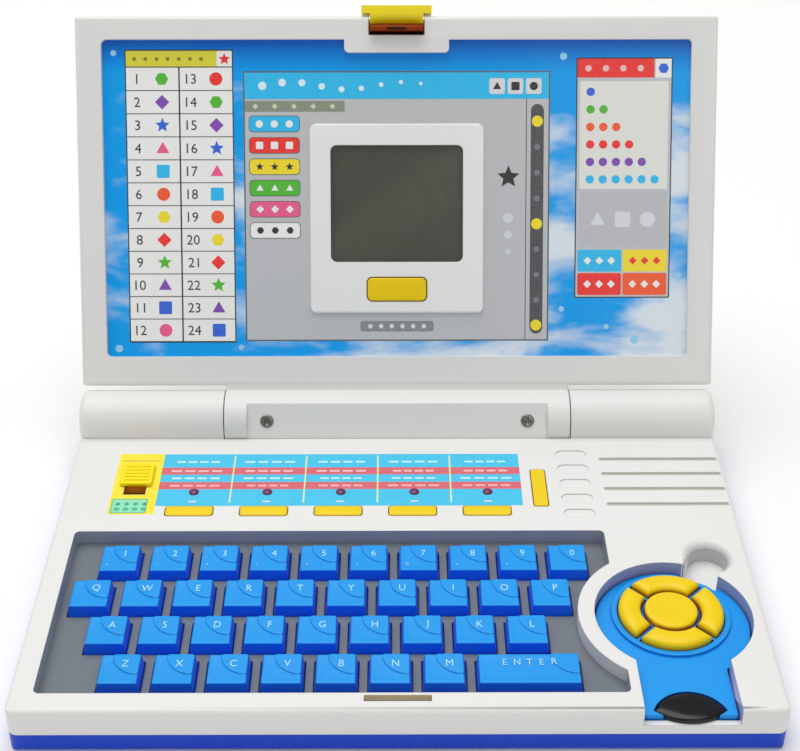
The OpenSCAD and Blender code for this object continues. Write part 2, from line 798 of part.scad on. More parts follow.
module lid_slab(grow, r) {
    plan_r = max(corner_r - lid_corner_less + grow, eps);
    w = base_w + 2 * grow;
    h = lid_h + 2 * grow;
    translate([0, (lid_u0 + lid_u1) / 2, lid_back - grow])
        edge_block(w, h, lid_t + 2 * grow, plan_r, r, r);
}

// Whole lid body with its barrel and stubs, before it is split at the seam
module lid_body() {
    difference() {
        union() {
            difference() {
                lid_slab(0, edge_r);
                difference() {
                    lid_slab(-wall, 0);
                    lid_box(-half_w, half_w, lid_u0, lid_u1, tray_n - tray_t, lid_face);
                }
            }
            difference() {
                union() {
                    x_bar(-lid_barrel_half, lid_barrel_half, barrel_r);
                    lid_box(-lid_barrel_half, lid_barrel_half, 7, lid_u0 + 1, neck_n0, neck_n1);
                }
                x_bar(-lid_barrel_half + end_wall, lid_barrel_half - end_wall, barrel_r - barrel_wall);
                lid_box(-facet_half, facet_half, 4, lid_u0 + wall, neck_n0 + wall, neck_n1 - wall - 0.4);
                lid_box(-facet_half, facet_half, -barrel_r, barrel_r, facet_n, barrel_r + 1);
            }
            lid_box(-facet_half - 1, facet_half + 1, -6.6, 6.6, facet_n - wall, facet_n);
            for (s = [0, 1]) mirror([s, 0, 0])
                x_bar(lid_barrel_half - end_wall, lid_barrel_half + stub_l, stub_r);
            lid_bosses();
        }
        picture_recess();
        for (s = [0, 1]) mirror([s, 0, 0])
            x_bar(lid_barrel_half - end_wall - 1, lid_barrel_half + stub_l + 1, 1.5);
        latch_notch();
        lid_screw_holes();
    }
    latch_ears();
}

module picture_recess() {
    difference() {
        translate([0, (picture_u0 + picture_u1) / 2, tray_n])
            linear_extrude(lid_t) rrect(2 * picture_hw, picture_u1 - picture_u0, 2);
        translate([0, picture_u1, tray_n - eps])
            linear_extrude(lid_t) rrect(2 * tab_hw, 2 * tab_drop, 2);
        translate([0, surround_u0 + surround_h / 2, tray_n - eps])
            edge_block(surround_w, surround_h, surround_n - tray_n + eps, surround_r, 0, 0.8);
    }
    translate([0, screen_u0 + screen_h / 2, tray_n - tray_t - eps])
        linear_extrude(lid_t) rrect(screen_w, screen_h, screen_r);
    translate([0, screen_u0 + screen_h / 2, tray_n - tray_t - eps])
        linear_extrude(pane_n - tray_n + tray_t + eps)
            rrect(screen_w + 2 * pane_lip, screen_h + 2 * pane_lip, screen_r + pane_lip);
    translate([0, button_u0 + screen_button_h / 2, tray_n - tray_t - eps])
        linear_extrude(lid_t) rrect(screen_button_w + 2 * play, screen_button_h + 2 * play, 2.4);
}

lid_screw_x = half_w - boss_inset;
lid_screws_at = [
    [-lid_screw_x, lid_u0 + boss_inset], [lid_screw_x, lid_u0 + boss_inset],
    [-lid_screw_x, lid_u1 - boss_inset], [lid_screw_x, lid_u1 - boss_inset],
    [-40, lid_u1 - 5.2], [40, lid_u1 - 5.2]
];

module lid_bosses() {
    for (p = lid_screws_at) translate([p[0], p[1], lid_back + eps]) cylinder(r = boss_r, h = lid_t - wall);
    for (s = [-1, 1]) translate([s * hinge_screw_x, 0, -barrel_r + 1])
        cylinder(r = 3.2, h = barrel_r + facet_n - 2);
}

module lid_screw_holes() {
    for (p = lid_screws_at) translate([p[0], p[1], lid_back - eps]) {
        cylinder(r = screw_r + 0.05, h = lid_t - wall - 1.5);
        cylinder(r = screw_head_r + 0.1, h = screw_head_t + 0.6 + eps);
    }
    for (s = [-1, 1]) translate([s * hinge_screw_x, 0, 0]) {
        translate([0, 0, -8]) cylinder(r = screw_r + 0.05, h = 20);
        translate([0, 0, facet_n - screw_head_t - 0.3]) cylinder(r = screw_head_r + 0.1, h = 4);
    }
}

module lid_screws() {
    color(steel) lid_place() {
        for (p = lid_screws_at) translate([p[0], p[1], lid_back + screw_head_t + 0.6]) screw(lid_t - 6);
        for (s = [-1, 1]) translate([s * hinge_screw_x, 0, facet_n - screw_head_t - 0.3])
            mirror([0, 0, 1]) screw(12);
    }
}

// Opening in the lid's face and top edge that the latch moves in
module latch_notch() {
    hw = latch_w / 2 + latch_play;
    lid_box(-hw, hw, tongue_u0 - 1.6, lid_u1 + 1, notch_n0, lid_face + 1);
}

module latch_ears() {
    hw = latch_w / 2 + latch_play;
    for (s = [0, 1]) mirror([s, 0, 0]) difference() {
        lid_box(hw, hw + ear_t, pin_u - 3.6, lid_u1 - wall + 0.4,
            lid_back + wall + fit, tray_n - tray_t + 0.4);
        translate([0, pin_u, pin_n]) x_bar(hw - 1, hw + 5, pin_r + running);
    }
}

module lid_front_shell() {
    color(white) lid_place() {
        intersection() {
            lid_body();
            lid_box(-half_w, half_w, -20, lid_u1 + 1, lid_seam, 20);
        }
        intersection() {
            latch_ears();
            lid_box(-half_w, half_w, 0, lid_u1 - wall - fit, lid_back, lid_seam + eps);
        }
    }
}

module lid_back_shell() {
    ears_hw = latch_w / 2 + latch_play + ear_t + fit;
    color(white) lid_place() difference() {
        intersection() {
            lid_body();
            lid_box(-half_w, half_w, -20, lid_u1 + 1, -30, lid_seam);
        }
        lid_box(-ears_hw, ears_hw, pin_u - 3.6 - fit, lid_u1 - wall, lid_back + wall, lid_seam + 1);
    }
}

module picture_panel() {
    color("#1e96e6") lid_place() translate([0, 0, tray_n]) linear_extrude(picture_t) difference() {
        translate([0, (picture_u0 + picture_u1) / 2]) rrect(2 * picture_hw, picture_u1 - picture_u0, 2);
        translate([0, picture_u1]) rrect(2 * tab_hw, 2 * tab_drop, 2);
        translate([0, surround_u0 + surround_h / 2]) rrect(surround_w, surround_h, surround_r);
    }
}

module lcd_window() {
    color("#b9bcae") lid_place() translate([0, screen_u0 + screen_h / 2, pane_n - pane_t])
        linear_extrude(pane_t) rrect(screen_w + 2 * (pane_lip - pane_fit),
            screen_h + 2 * (pane_lip - pane_fit), screen_r + pane_lip - pane_fit);
}

// Display module: glass, frame and the board that carries it and the button's switch
module lcd_panel() {
    color("#4b4b40") lid_place() {
        translate([0, screen_u0 + screen_h / 2, pane_n - pane_t - lcd_t])
            linear_extrude(lcd_t) rrect(screen_w + 2, screen_h + 2, screen_r);
        translate([0, screen_u0 + screen_h / 2, lid_board_n - eps])
            linear_extrude(pane_n - pane_t - lcd_t - lid_board_n + 2 * eps)
                rrect(screen_w, screen_h, screen_r);
        lid_box(-surround_w / 2 + 3, surround_w / 2 - 3, surround_u0 + 2, screen_u0 + screen_h + 6,
            lid_board_n - lid_board_t, lid_board_n);
        for (s = [-1, 1]) translate([s * 6, button_u0 + screen_button_h / 2, lid_board_n - eps])
            cylinder(r = 2, h = switch_h);
    }
}

module screen_button() {
    color(yellow) lid_place() translate([0, button_u0 + screen_button_h / 2, screen_foot_n]) {
        edge_block(screen_button_w, screen_button_h, surround_n + screen_over - screen_foot_n, 2, 0, 0.5);
        linear_extrude(screen_flange_t) rrect(screen_button_w + 2.4, screen_button_h + 2.4, 3);
    }
}

// Sprung latch: pins, a tongue with a barb for the base's catch slot, and a thumb tab
module latch() {
    hw = latch_w / 2;
    pin_end = hw + latch_play + ear_t - 0.2;
    color(yellow) lid_place() {
        lid_box(-hw, hw, tongue_u0, tongue_u1, pin_n, tongue_tip_n);
        translate([-hw, 0, 0]) rotate([90, 0, 90]) linear_extrude(latch_w) polygon([
            [tongue_u1 - eps, tongue_tip_n], [tongue_u1 + barb, tongue_tip_n - 1.2],
            [tongue_u1 + barb, tongue_tip_n - 1.6], [tongue_u1 - eps, tongue_tip_n - 1.6]
        ]);
        lid_box(-hw, hw, tongue_u0, lid_u1 + tab_gap, pin_n - 2, pin_n + 3);
        lid_box(-hw, hw, tongue_u1 + 2, lid_u1 + tab_gap + eps, pin_n, lid_face);
        lid_box(-hw - tab_over, hw + tab_over, lid_u1 + tab_gap, lid_u1 + tab_gap + tab_t,
            pin_n - 2, lid_face);
        translate([0, pin_u, pin_n]) x_bar(-pin_end, pin_end, pin_r);
    }
}

// --- mouse ---

module mouse_2d(grow, front_gap) {
    difference() {
        union() {
            translate([dock_x, dock_y]) circle(mouse_r + grow);
            translate([dock_x - mouse_neck_w / 2 - grow, front_y + front_gap - grow])
                square([mouse_neck_w + 2 * grow, dock_from_front - front_gap + grow]);
        }
        notch_2d(mouse_fit - grow);
    }
}

module mouse_bottom_shell() {
    front = dock_front + tray_wall + play;
    color(blue) difference() {
        translate([0, 0, mouse_z]) linear_extrude(mouse_seam_z - mouse_z) mouse_2d(0, front);
        translate([0, 0, mouse_z + mouse_wall]) linear_extrude(mouse_seam_z) mouse_2d(-mouse_wall, front);
    }
}

module window_2d(grow) {
    intersection() {
        translate([dock_x, window_y]) circle(window_r + grow);
        translate([dock_x, window_front_y]) circle(window_front_r + grow);
    }
}

module mouse_top_shell() {
    color(bright_blue) difference() {
        union() {
            difference() {
                translate([0, 0, mouse_seam_z]) linear_extrude(mouse_deck_z - mouse_seam_z)
                    mouse_2d(0, mouse_front);
                translate([0, 0, mouse_seam_z - eps])
                    linear_extrude(mouse_deck_z - mouse_wall - mouse_seam_z)
                        mouse_2d(-mouse_wall, mouse_front);
            }
            translate([dock_x, buttons_y, mouse_deck_z - eps]) intersection() {
                cylinder(r = disc_r, h = disc_h);
                translate([-dock_x, -buttons_y, -1]) linear_extrude(4) mouse_2d(0, mouse_front);
            }
        }
        translate([0, 0, seam_z]) linear_extrude(base_h) {
            ring_sectors(fit, 0);
            translate([dock_x, buttons_y]) circle(ok_r + fit);
        }
        translate([0, 0, window_low_z - fit]) linear_extrude(base_h) window_2d(fit);
    }
}

module mouse_window() {
    top_h = mouse_deck_z + 0.3 - window_low_z;
    color("#17181a") translate([0, 0, window_low_z]) intersection() {
        linear_extrude(top_h) window_2d(0);
        translate([dock_x - window_r, window_y, 0]) rotate([90, 0, 90]) linear_extrude(2 * window_r)
            polygon([[0, 0], [window_r, 0], [window_r, top_h], [6, top_h], [2.4, top_h - 0.4], [0, 0.7]]);
    }
}

// Plan of the four direction buttons
module ring_sectors(grow, index) {
    translate([dock_x, buttons_y]) difference() {
        circle(ring_r + grow);
        circle(ring_in_r - grow);
        for (a = [45, 135]) rotate(a) square([3 * ring_r, 2 * (ring_gap - grow)], center = true);
        if (index > 0) rotate(index * 90) {
            rotate(45) translate([-2 * ring_r, 0]) square([4 * ring_r, 2 * ring_r]);
            rotate(-45) translate([-2 * ring_r, -2 * ring_r]) square([4 * ring_r, 2 * ring_r]);
        }
    }
}

// One direction button: 1 is up, then left, down and right
module ring_button(index) {
    low = mouse_deck_z - mouse_wall - play - 1.4;
    color(yellow) {
        intersection() {
            translate([0, 0, low]) linear_extrude(base_h) ring_sectors(0, index);
            translate([dock_x, buttons_y, low]) rotate_extrude() intersection() {
                translate([(ring_r + ring_in_r) / 2, 0])
                    side_profile(ring_r - ring_in_r, ring_top_z - low, 0, 1.2);
                square(2 * ring_r);
            }
        }
        translate([0, 0, low]) linear_extrude(1.4) difference() {
            intersection() {
                ring_sectors(0.6, index);
                translate([dock_x, buttons_y]) difference() {
                    circle(ring_r + 0.7);
                    circle(ring_in_r - 0.2);
                }
            }
            notch_2d(mouse_fit + mouse_wall + play);
        }
    }
}

module mouse_ok_button() {
    low = mouse_deck_z - mouse_wall - play - 1.4;
    color(yellow) translate([dock_x, buttons_y, low]) rotate_extrude() {
        intersection() {
            side_profile(2 * ok_r, ok_top_z - low, 0, 1.2);
            square(base_h);
        }
    }
}

base_top_shell();
base_bottom_shell();
key_deck();
key_dome_sheet();
circuit_boards();
speaker();
battery_door();
battery_cells();
base_screws();
activity_slider();
power_button();
for (i = [1:function_count]) {
    function_button(i);
}
lid_front_shell();
lid_back_shell();
picture_panel();
lcd_window();
lcd_panel();
lid_screws();
latch();
screen_button();
mouse_top_shell();
mouse_bottom_shell();
mouse_window();
mouse_ok_button();
ring_button(1);  // mouse_up_button
ring_button(2);  // mouse_left_button
ring_button(3);  // mouse_down_button
ring_button(4);  // mouse_right_button
enter_key();
number_keys();
for (r = [0:2], i = [0:len(LETTER_ROWS[r]) - 1]) {
    letter_key(r + 1, i);
}
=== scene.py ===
import math

import bmesh
import bpy
from bpy.props import FloatProperty, FloatVectorProperty, IntProperty, PointerProperty
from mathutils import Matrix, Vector


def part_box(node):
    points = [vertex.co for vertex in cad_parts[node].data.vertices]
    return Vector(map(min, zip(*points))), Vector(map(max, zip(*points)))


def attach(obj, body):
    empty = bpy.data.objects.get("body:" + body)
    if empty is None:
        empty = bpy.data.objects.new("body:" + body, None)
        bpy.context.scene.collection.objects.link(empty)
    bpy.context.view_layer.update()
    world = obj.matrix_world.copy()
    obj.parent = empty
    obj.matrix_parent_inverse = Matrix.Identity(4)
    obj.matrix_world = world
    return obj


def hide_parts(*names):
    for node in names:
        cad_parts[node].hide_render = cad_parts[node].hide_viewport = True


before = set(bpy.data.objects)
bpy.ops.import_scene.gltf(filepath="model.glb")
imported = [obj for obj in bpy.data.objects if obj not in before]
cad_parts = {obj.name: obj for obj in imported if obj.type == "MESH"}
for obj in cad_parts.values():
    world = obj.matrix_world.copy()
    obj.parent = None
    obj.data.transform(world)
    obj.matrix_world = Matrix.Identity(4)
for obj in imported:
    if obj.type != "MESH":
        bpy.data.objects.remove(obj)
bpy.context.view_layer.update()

bl_info = {
    "name": "Toy laptop computer",
    "version": (1, 0, 0),
    "blender": (4, 5, 0),
    "location": "3D View > Sidebar > Toy laptop",
    "description": "Dresses the toy laptop: casings, keycaps, buttons, mouse, display and prints",
    "category": "Object",
}

MM = 0.001
# places are in millimetres: x, y, z in the part's frame,
# and x, u, n across, up and out of the open lid
HINGE_Y, HINGE_Z = 77.5, 20.9
LID_OPEN = 117.7  # degrees from shut
LID_TILT = math.radians(180 - LID_OPEN)
LID_COS, LID_SIN = math.cos(LID_TILT), math.sin(LID_TILT)
DECK_Z = 19.0  # face of the deck
PANEL_N = -0.9  # face of the picture
KEY_SKIRT = 0.9  # how far a key's foot stands out past its cap, on each side
# middle of the first function button, the way to the next one, and how many there are
FUNCTION_X, FUNCTION_STEP, FUNCTION_COUNT = -80.9, 29.2, 5


def linear(code):
    """Linear RGB of an sRGB hex colour."""
    channels = [int(code[i:i + 2], 16) / 255 for i in (1, 3, 5)]
    return [c / 12.92 if c <= 0.04045 else ((c + 0.055) / 1.055) ** 2.4 for c in channels]


def on_base(x, y, z):
    """A point of the base is already in the part's frame."""
    return x, y, z


def on_lid(x, u, n):
    """Place in the part's frame of a point given across, up and out of the open lid."""
    return x, HINGE_Y + u * LID_COS - n * LID_SIN, HINGE_Z + u * LID_SIN + n * LID_COS


def off_lid(point):
    """How far across, up and out of the open lid a point in metres lies, in millimetres."""
    x, y, z = point[0] / MM, point[1] / MM - HINGE_Y, point[2] / MM - HINGE_Z
    return x, y * LID_COS + z * LID_SIN, z * LID_COS - y * LID_SIN


def box_mm(node):
    """Lowest and highest corner of a CAD node, in millimetres."""
    low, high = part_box(node)
    return [v / MM for v in low], [v / MM for v in high]


# ---------------------------------------------------------------- outlines


def round_rect(x0, x1, y0, y1, r, steps=5):
    """Anticlockwise rectangle with round corners."""
    points = []
    for cx, cy, start in ((x1 - r, y0 + r, -90), (x1 - r, y1 - r, 0), (x0 + r, y1 - r, 90),
                          (x0 + r, y0 + r, 180)):
        for i in range(steps + 1):
            a = math.radians(start + 90 * i / steps)
            points.append((cx + r * math.cos(a), cy + r * math.sin(a)))
    return points


def disc(x, y, r, steps=32, start=0.0):
    """Anticlockwise circle, or a regular shape of few steps."""
    return [(x + r * math.cos(start + 2 * math.pi * i / steps),
             y + r * math.sin(start + 2 * math.pi * i / steps)) for i in range(steps)]


def star(x, y, r):
    """Anticlockwise star of five points."""
    points, inner, out = 5, 0.45, []
    for i in range(2 * points):
        a, q = math.pi / 2 + math.pi * i / points, r if i % 2 == 0 else r * inner
        out.append((x + q * math.cos(a), y + q * math.sin(a)))
    return out


def sector(x, y, r0, r1, mid, half_gap, round_r, steps=14):
    """Anticlockwise quarter ring about the direction mid, its ends parallel to the diagonals."""
    def end(r, side):
        return mid + side * (math.pi / 4 - math.asin(half_gap / r))
    points = [(r1, end(r1, -1) + (end(r1, 1) - end(r1, -1)) * i / steps) for i in range(steps + 1)]
    points += [(r0, end(r0, 1) + (end(r0, -1) - end(r0, 1)) * i / steps) for i in range(steps + 1)]
    return round_corners([(x + r * math.cos(a), y + r * math.sin(a)) for r, a in points], round_r)


def round_corners(points, r, steps=4):
    """Rounds the sharp corners of an outline with short curves of about radius r."""
    out, count = [], len(points)
    for i, p in enumerate(points):
        a, b, c = Vector(points[i - 1]), Vector(p), Vector(points[(i + 1) % count])
        e, f = (a - b), (c - b)
        if e.normalized().dot(f.normalized()) < -0.8:
            out.append(tuple(b))
            continue
        cut = min(r, e.length * 0.45, f.length * 0.45)
        s, t = b + e.normalized() * cut, b + f.normalized() * cut
        for k in range(steps + 1):
            q = k / steps
            out.append(tuple(s * (1 - q) ** 2 + b * 2 * q * (1 - q) + t * q ** 2))
    return out


def crossing(p, e, q, f):
    """Point where the line through p along e meets that through q along f, or else q."""
    turn = e.x * f.y - e.y * f.x
    if abs(turn) < 1e-6:
        return q
    return q + f * (((p - q).x * e.y - (p - q).y * e.x) / -turn)


def inset(points, d):
    """The outline moved inwards by d; edges that this would turn back shrink to a point."""
    if abs(d) < 1e-9:
        return list(points)
    count, corners, edges = len(points), [Vector(p) for p in points], []
    for a, b in zip(corners, corners[1:] + corners[:1]):
        way = (b - a).normalized()
        edges.append((a + Vector((-way.y, way.x)) * d, way))
    live = list(range(count))
    while len(live) > 2:
        starts = {i: crossing(*edges[live[k - 1]], *edges[i]) for k, i in enumerate(live)}
        turned = [i for k, i in enumerate(live)
                  if (starts[live[(k + 1) % len(live)]] - starts[i]).dot(edges[i][1]) < -1e-7]
        if not turned:
            break
        live = [i for i in live if i not in turned]
    out, upcoming = [], live[0]
    for i in reversed(range(count)):
        upcoming = i if i in starts and i in live else upcoming
        out.append(tuple(starts[upcoming]))
    return out[::-1]


def round_edge(r, z, steps=4):
    """Profile of (inset, height) for an edge of radius r whose top is at z."""
    return [(r - r * math.cos(math.pi / 2 * i / steps),
             z - r + r * math.sin(math.pi / 2 * i / steps)) for i in range(steps + 1)]


# ---------------------------------------------------------------- meshes


class Shape:
    """Collects the faces of one piece, in millimetres, each with a material slot and an ink."""

    def __init__(self, place=on_base):
        self.place, self.verts, self.faces, self.slots, self.inks = place, [], [], [], []

    def add(self, verts, faces, slot=0, ink=(1, 1, 1)):
        """Takes in faces that are made already."""
        start = len(self.verts)
        self.verts += [self.place(*v) for v in verts]
        self.faces += [[start + i for i in f] for f in faces]
        self.slots += [slot] * len(faces)
        self.inks += [ink] * len(faces)

    def loft(self, rings, slots=0, ink=(1, 1, 1)):
        """Closed solid through rings of equally many points; points that fall together become one.
        slots may list a material slot for the foot, for each band and for the top."""
        count, known, verts, rows = len(rings[0]), {}, [], []
        for ring in rings:
            row = []
            for point in ring:
                key = tuple(round(c, 4) for c in point)
                if key not in known:
                    known[key] = len(verts)
                    verts.append(point)
                row.append(known[key])
            rows.append(row)
        if not isinstance(slots, (list, tuple)):
            slots = [slots] * (len(rings) + 1)
        loops = [(slots[0], rows[0][::-1])]
        for a, b, slot in zip(rows, rows[1:], slots[1:]):
            loops += [(slot, [a[i - 1], a[i], b[i], b[i - 1]]) for i in range(count)]
        loops.append((slots[-1], rows[-1]))
        start = len(self.verts)
        self.verts += [self.place(*v) for v in verts]
        for slot, loop in loops:
            face = [v for k, v in enumerate(loop) if v != loop[k - 1]]
            if len(set(face)) > 2:
                self.faces.append([start + v for v in face])
                self.slots.append(slot)
                self.inks.append(ink)

    def rise(self, outline, profile, slots=0, ink=(1, 1, 1)):
        """Closed solid whose rings follow the outline at each (inset, height) of the profile."""
        self.loft([[(x, y, z) for x, y in inset(outline, d)] for d, z in profile], slots, ink)

    def print_on(self, outline, low, high, code):
        """Thin inked patch of one colour."""
        self.rise(outline, [(0, low), (0, high)], 0, tuple(linear(code)))

    def make(self, name, materials, sharp=38.0):
        """Finished object at the origin, smooth but for edges over the angle, flats kept flat."""
        mesh = bpy.data.meshes.new(name)
        mesh.from_pydata([[c * MM for c in v] for v in self.verts], [], self.faces)
        for m in materials:
            mesh.materials.append(m)
        mesh.polygons.foreach_set("material_index", self.slots)
        inks = mesh.attributes.new("ink", "FLOAT_COLOR", "CORNER")
        colours = [c for p, ink in zip(mesh.polygons, self.inks) for _ in range(p.loop_total)
                   for c in (*ink, 1.0)]
        inks.data.foreach_set("color", colours)
        mesh.validate()
        obj = bpy.data.objects.new(name, mesh)
        bpy.context.scene.collection.objects.link(obj)
        return weigh_normals(obj, sharp)


def weigh_normals(obj, sharp):
    """Smooth shading that keeps large flat faces flat, baked into the mesh."""
    obj.data.shade_smooth()
    obj.data.set_sharp_from_angle(angle=math.radians(sharp))
    modifier = obj.modifiers.new("Flat faces", "WEIGHTED_NORMAL")
    modifier.keep_sharp = True
    return baked(obj)


def evaluated_mesh(obj):
    """New mesh of the object as its modifiers leave it."""
    bpy.context.view_layer.update()
    graph = bpy.context.evaluated_depsgraph_get()
    return bpy.data.meshes.new_from_object(obj.evaluated_get(graph))


def baked(obj):
    """Replaces the object's mesh by its evaluated one and clears its modifiers."""
    result = evaluated_mesh(obj)
    result.name = obj.name
    old = obj.data
    obj.modifiers.clear()
    obj.data = result
    bpy.data.meshes.remove(old)
    return obj


def merged_copy(node, name, material, sharp=32.0):
    """A CAD node's shape as one connected mesh, its flats whole and its roundings smooth."""
    work = bmesh.new()
    work.from_mesh(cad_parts[node].data)
    bmesh.ops.remove_doubles(work, verts=work.verts, dist=2e-6)
    bmesh.ops.dissolve_limit(work, angle_limit=math.radians(0.6), verts=work.verts,
                             edges=work.edges)
    mesh = bpy.data.meshes.new(name)
    work.to_mesh(mesh)
    work.free()
    mesh.materials.clear()
    mesh.materials.append(material)
    mesh.polygons.foreach_set("material_index", [0] * len(mesh.polygons))
    obj = bpy.data.objects.new(name, mesh)
    bpy.context.scene.collection.objects.link(obj)
    return weigh_normals(obj, sharp)


def finish_piece(obj, body, slot, *nodes):
    """Puts a finished object on its body and hides the CAD nodes that it stands for; slot is not
    used.
    """
    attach(obj, body)
    if nodes:
        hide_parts(*nodes)
    return obj


def dress(node, name, body, slot, material):
    """Gives a CAD node's own shape its finish."""
    return finish_piece(merged_copy(node, name, material), body, slot, node)


LETTERING = {}
CAPITAL = 0.73  # height of a capital as a share of the type's size


def lettering(words, height, depth):
    """Vertices and faces of raised block letters, centred, in millimetres."""
    if words not in LETTERING:
        curve = bpy.data.curves.new("legend", "FONT")
        curve.body, curve.extrude, curve.resolution_u = words, 0.5, 3
        holder = bpy.data.objects.new("legend", curve)
        bpy.context.scene.collection.objects.link(holder)
        mesh = evaluated_mesh(holder)
        points = [tuple(v.co) for v in mesh.vertices]
        LETTERING[words] = points, [list(p.vertices) for p in mesh.polygons]
        bpy.data.objects.remove(holder)
        bpy.data.curves.remove(curve)
        bpy.data.meshes.remove(mesh)
    verts, faces = LETTERING[words]
    xs, ys = [v[0] for v in verts], [v[1] for v in verts]
    k = height / CAPITAL
    cx, cy = (min(xs) + max(xs)) / 2, (min(ys) + max(ys)) / 2
    return [((x - cx) * k, (y - cy) * k, (z + 0.5) * depth) for x, y, z in verts], faces


# ---------------------------------------------------------------- materials


MIX_A, MIX_B, MIXED = 6, 7, 2  # colour inputs and colour output of a mix node


def feed(tree, node, links):
    """Gives each named input of a node its value, or links it to another node's output."""
    for key, value in links.items():
        if isinstance(value, bpy.types.NodeSocket):
            tree.links.new(value, node.inputs[key])
        else:
            node.inputs[key].default_value = value


def put(tree, kind, links=None, **settings):
    """Adds a node with its settings, its inputs' values and its links."""
    made = tree.nodes.new(kind)
    for key, value in settings.items():
        setattr(made, key, value)
    feed(tree, made, links or {})
    return made


def rgba(colour, shade=1.0):
    """Colour with full alpha, made darker or lighter by a factor."""
    return (*[min(1.0, c * shade) for c in colour], 1.0)


def new_material(name):
    """Empty material with its surface shader, and the Object coordinates its patterns use."""
    material = bpy.data.materials.get(name) or bpy.data.materials.new(name)
    material.use_nodes = True
    tree = material.node_tree
    tree.nodes.clear()
    shader = put(tree, "ShaderNodeBsdfPrincipled")
    put(tree, "ShaderNodeOutputMaterial", {"Surface": shader.outputs[0]})
    return material, tree, shader, put(tree, "ShaderNodeTexCoord").outputs["Object"]


def moulded_plastic(name, colour, roughness=0.34, grain_mm=0.5, grain_depth=0.004, mottle=0.03,
                    edge_mm=0.3, edge_highlight=1.1, coat=0.0, gloss=0.5, deep=None):
    """Injection-moulded plastic: a faint cast mottle over some centimetres, a spark-eroded grain,
    softened edges drawn lighter as a painted highlight, and painted shade where two faces
    meet."""
    material, tree, shader, where = new_material(name)
    mottling = put(tree, "ShaderNodeTexNoise", {"Vector": where, "Scale": 1 / 0.035, "Detail": 3.0})
    # a real mould's grain is about 0.1 mm; drawn half a millimetre or more so that it still shows
    grain = put(tree, "ShaderNodeTexNoise", {"Vector": where, "Scale": 1 / (grain_mm * MM),
                                             "Detail": 2.0})
    rounding = put(tree, "ShaderNodeBevel", {"Radius": edge_mm * MM}, samples=6)
    facing = put(tree, "ShaderNodeNewGeometry")
    turn = put(tree, "ShaderNodeVectorMath", {0: rounding.outputs[0], 1: facing.outputs["Normal"]},
               operation="DOT_PRODUCT")
    # painted highlight: softened edges, found where the Bevel normal turns from the true one, are
    # drawn lighter
    edge = put(tree, "ShaderNodeMapRange", {"Value": turn.outputs["Value"], "From Min": 0.97,
                                            "From Max": 0.80, "To Min": 0.0, "To Max": 0.7})
    tone = put(tree, "ShaderNodeMix", {"Factor": mottling.outputs[0],
                                       MIX_A: rgba(colour, 1 - mottle),
                                       MIX_B: rgba(colour, 1 + mottle * 0.5)}, data_type="RGBA")
    tone_with_painted_light = put(tree, "ShaderNodeMix", {"Factor": edge.outputs[0], MIX_A: tone.outputs[MIXED],
                                       MIX_B: rgba(colour, edge_highlight)}, data_type="RGBA")
    if deep:
        # painted shade: where other faces lie within 2.6 mm, the colour turns towards the deep one
        nook = put(tree, "ShaderNodeAmbientOcclusion", {"Distance": 2.6 * MM}, samples=8)
        shade = put(tree, "ShaderNodeMapRange",
                    {"Value": nook.outputs["AO"], "From Min": 0.3, "From Max": 0.8, "To Min": 0.85,
                     "To Max": 0.0})
        tone_with_painted_light = put(tree, "ShaderNodeMix", {"Factor": shade.outputs[0], MIX_A: tone_with_painted_light.outputs[MIXED],
                                           MIX_B: rgba(linear(deep))}, data_type="RGBA")
    sheen = put(tree, "ShaderNodeMapRange", {"Value": grain.outputs[0], "From Min": 0.3,
                                             "From Max": 0.7, "To Min": roughness - 0.03,
                                             "To Max": roughness + 0.04})
    relief = put(tree, "ShaderNodeBump", {"Height": grain.outputs[0], "Distance": grain_depth * MM,
                                          "Strength": 0.8, "Normal": rounding.outputs[0]})
    feed(tree, shader, {"Base Color": tone_with_painted_light.outputs[MIXED], "Roughness": sheen.outputs[0],
                        "Normal": relief.outputs[0], "IOR": 1.53, "Specular IOR Level": gloss,
                        "Coat Weight": coat, "Coat Roughness": 0.12})
    return material


def printed_film(name):
    """Screen-printed plastic film: flat inks from the piece's ink attribute, broken by a fine dot
    screen, under a clear gloss that is not quite even."""
    material, tree, shader, where = new_material(name)
    ink = put(tree, "ShaderNodeAttribute", attribute_name="ink")
    # the printer's dots are 0.2 mm apart; drawn 0.7 mm apart so that they still show
    screen = put(tree, "ShaderNodeTexVoronoi", {"Vector": where, "Scale": 1 / 0.0007})
    spread = put(tree, "ShaderNodeMapRange", {"Value": screen.outputs["Distance"], "To Min": 0.0,
                                              "To Max": 0.09})
    paper = put(tree, "ShaderNodeMix", {"Factor": spread.outputs[0], MIX_A: ink.outputs["Color"],
                                        MIX_B: rgba(linear("#F4F6F2"))}, data_type="RGBA")
    waves = put(tree, "ShaderNodeTexNoise", {"Vector": where, "Scale": 1 / 0.018, "Detail": 2.0})
    relief = put(tree, "ShaderNodeBump", {"Height": waves.outputs[0], "Distance": 0.05 * MM,
                                          "Strength": 0.4})
    feed(tree, shader, {"Base Color": paper.outputs[MIXED], "Normal": relief.outputs[0],
                        "Roughness": 0.34, "Specular IOR Level": 0.25, "Coat Weight": 0.08,
                        "Coat Roughness": 0.08})
    return material


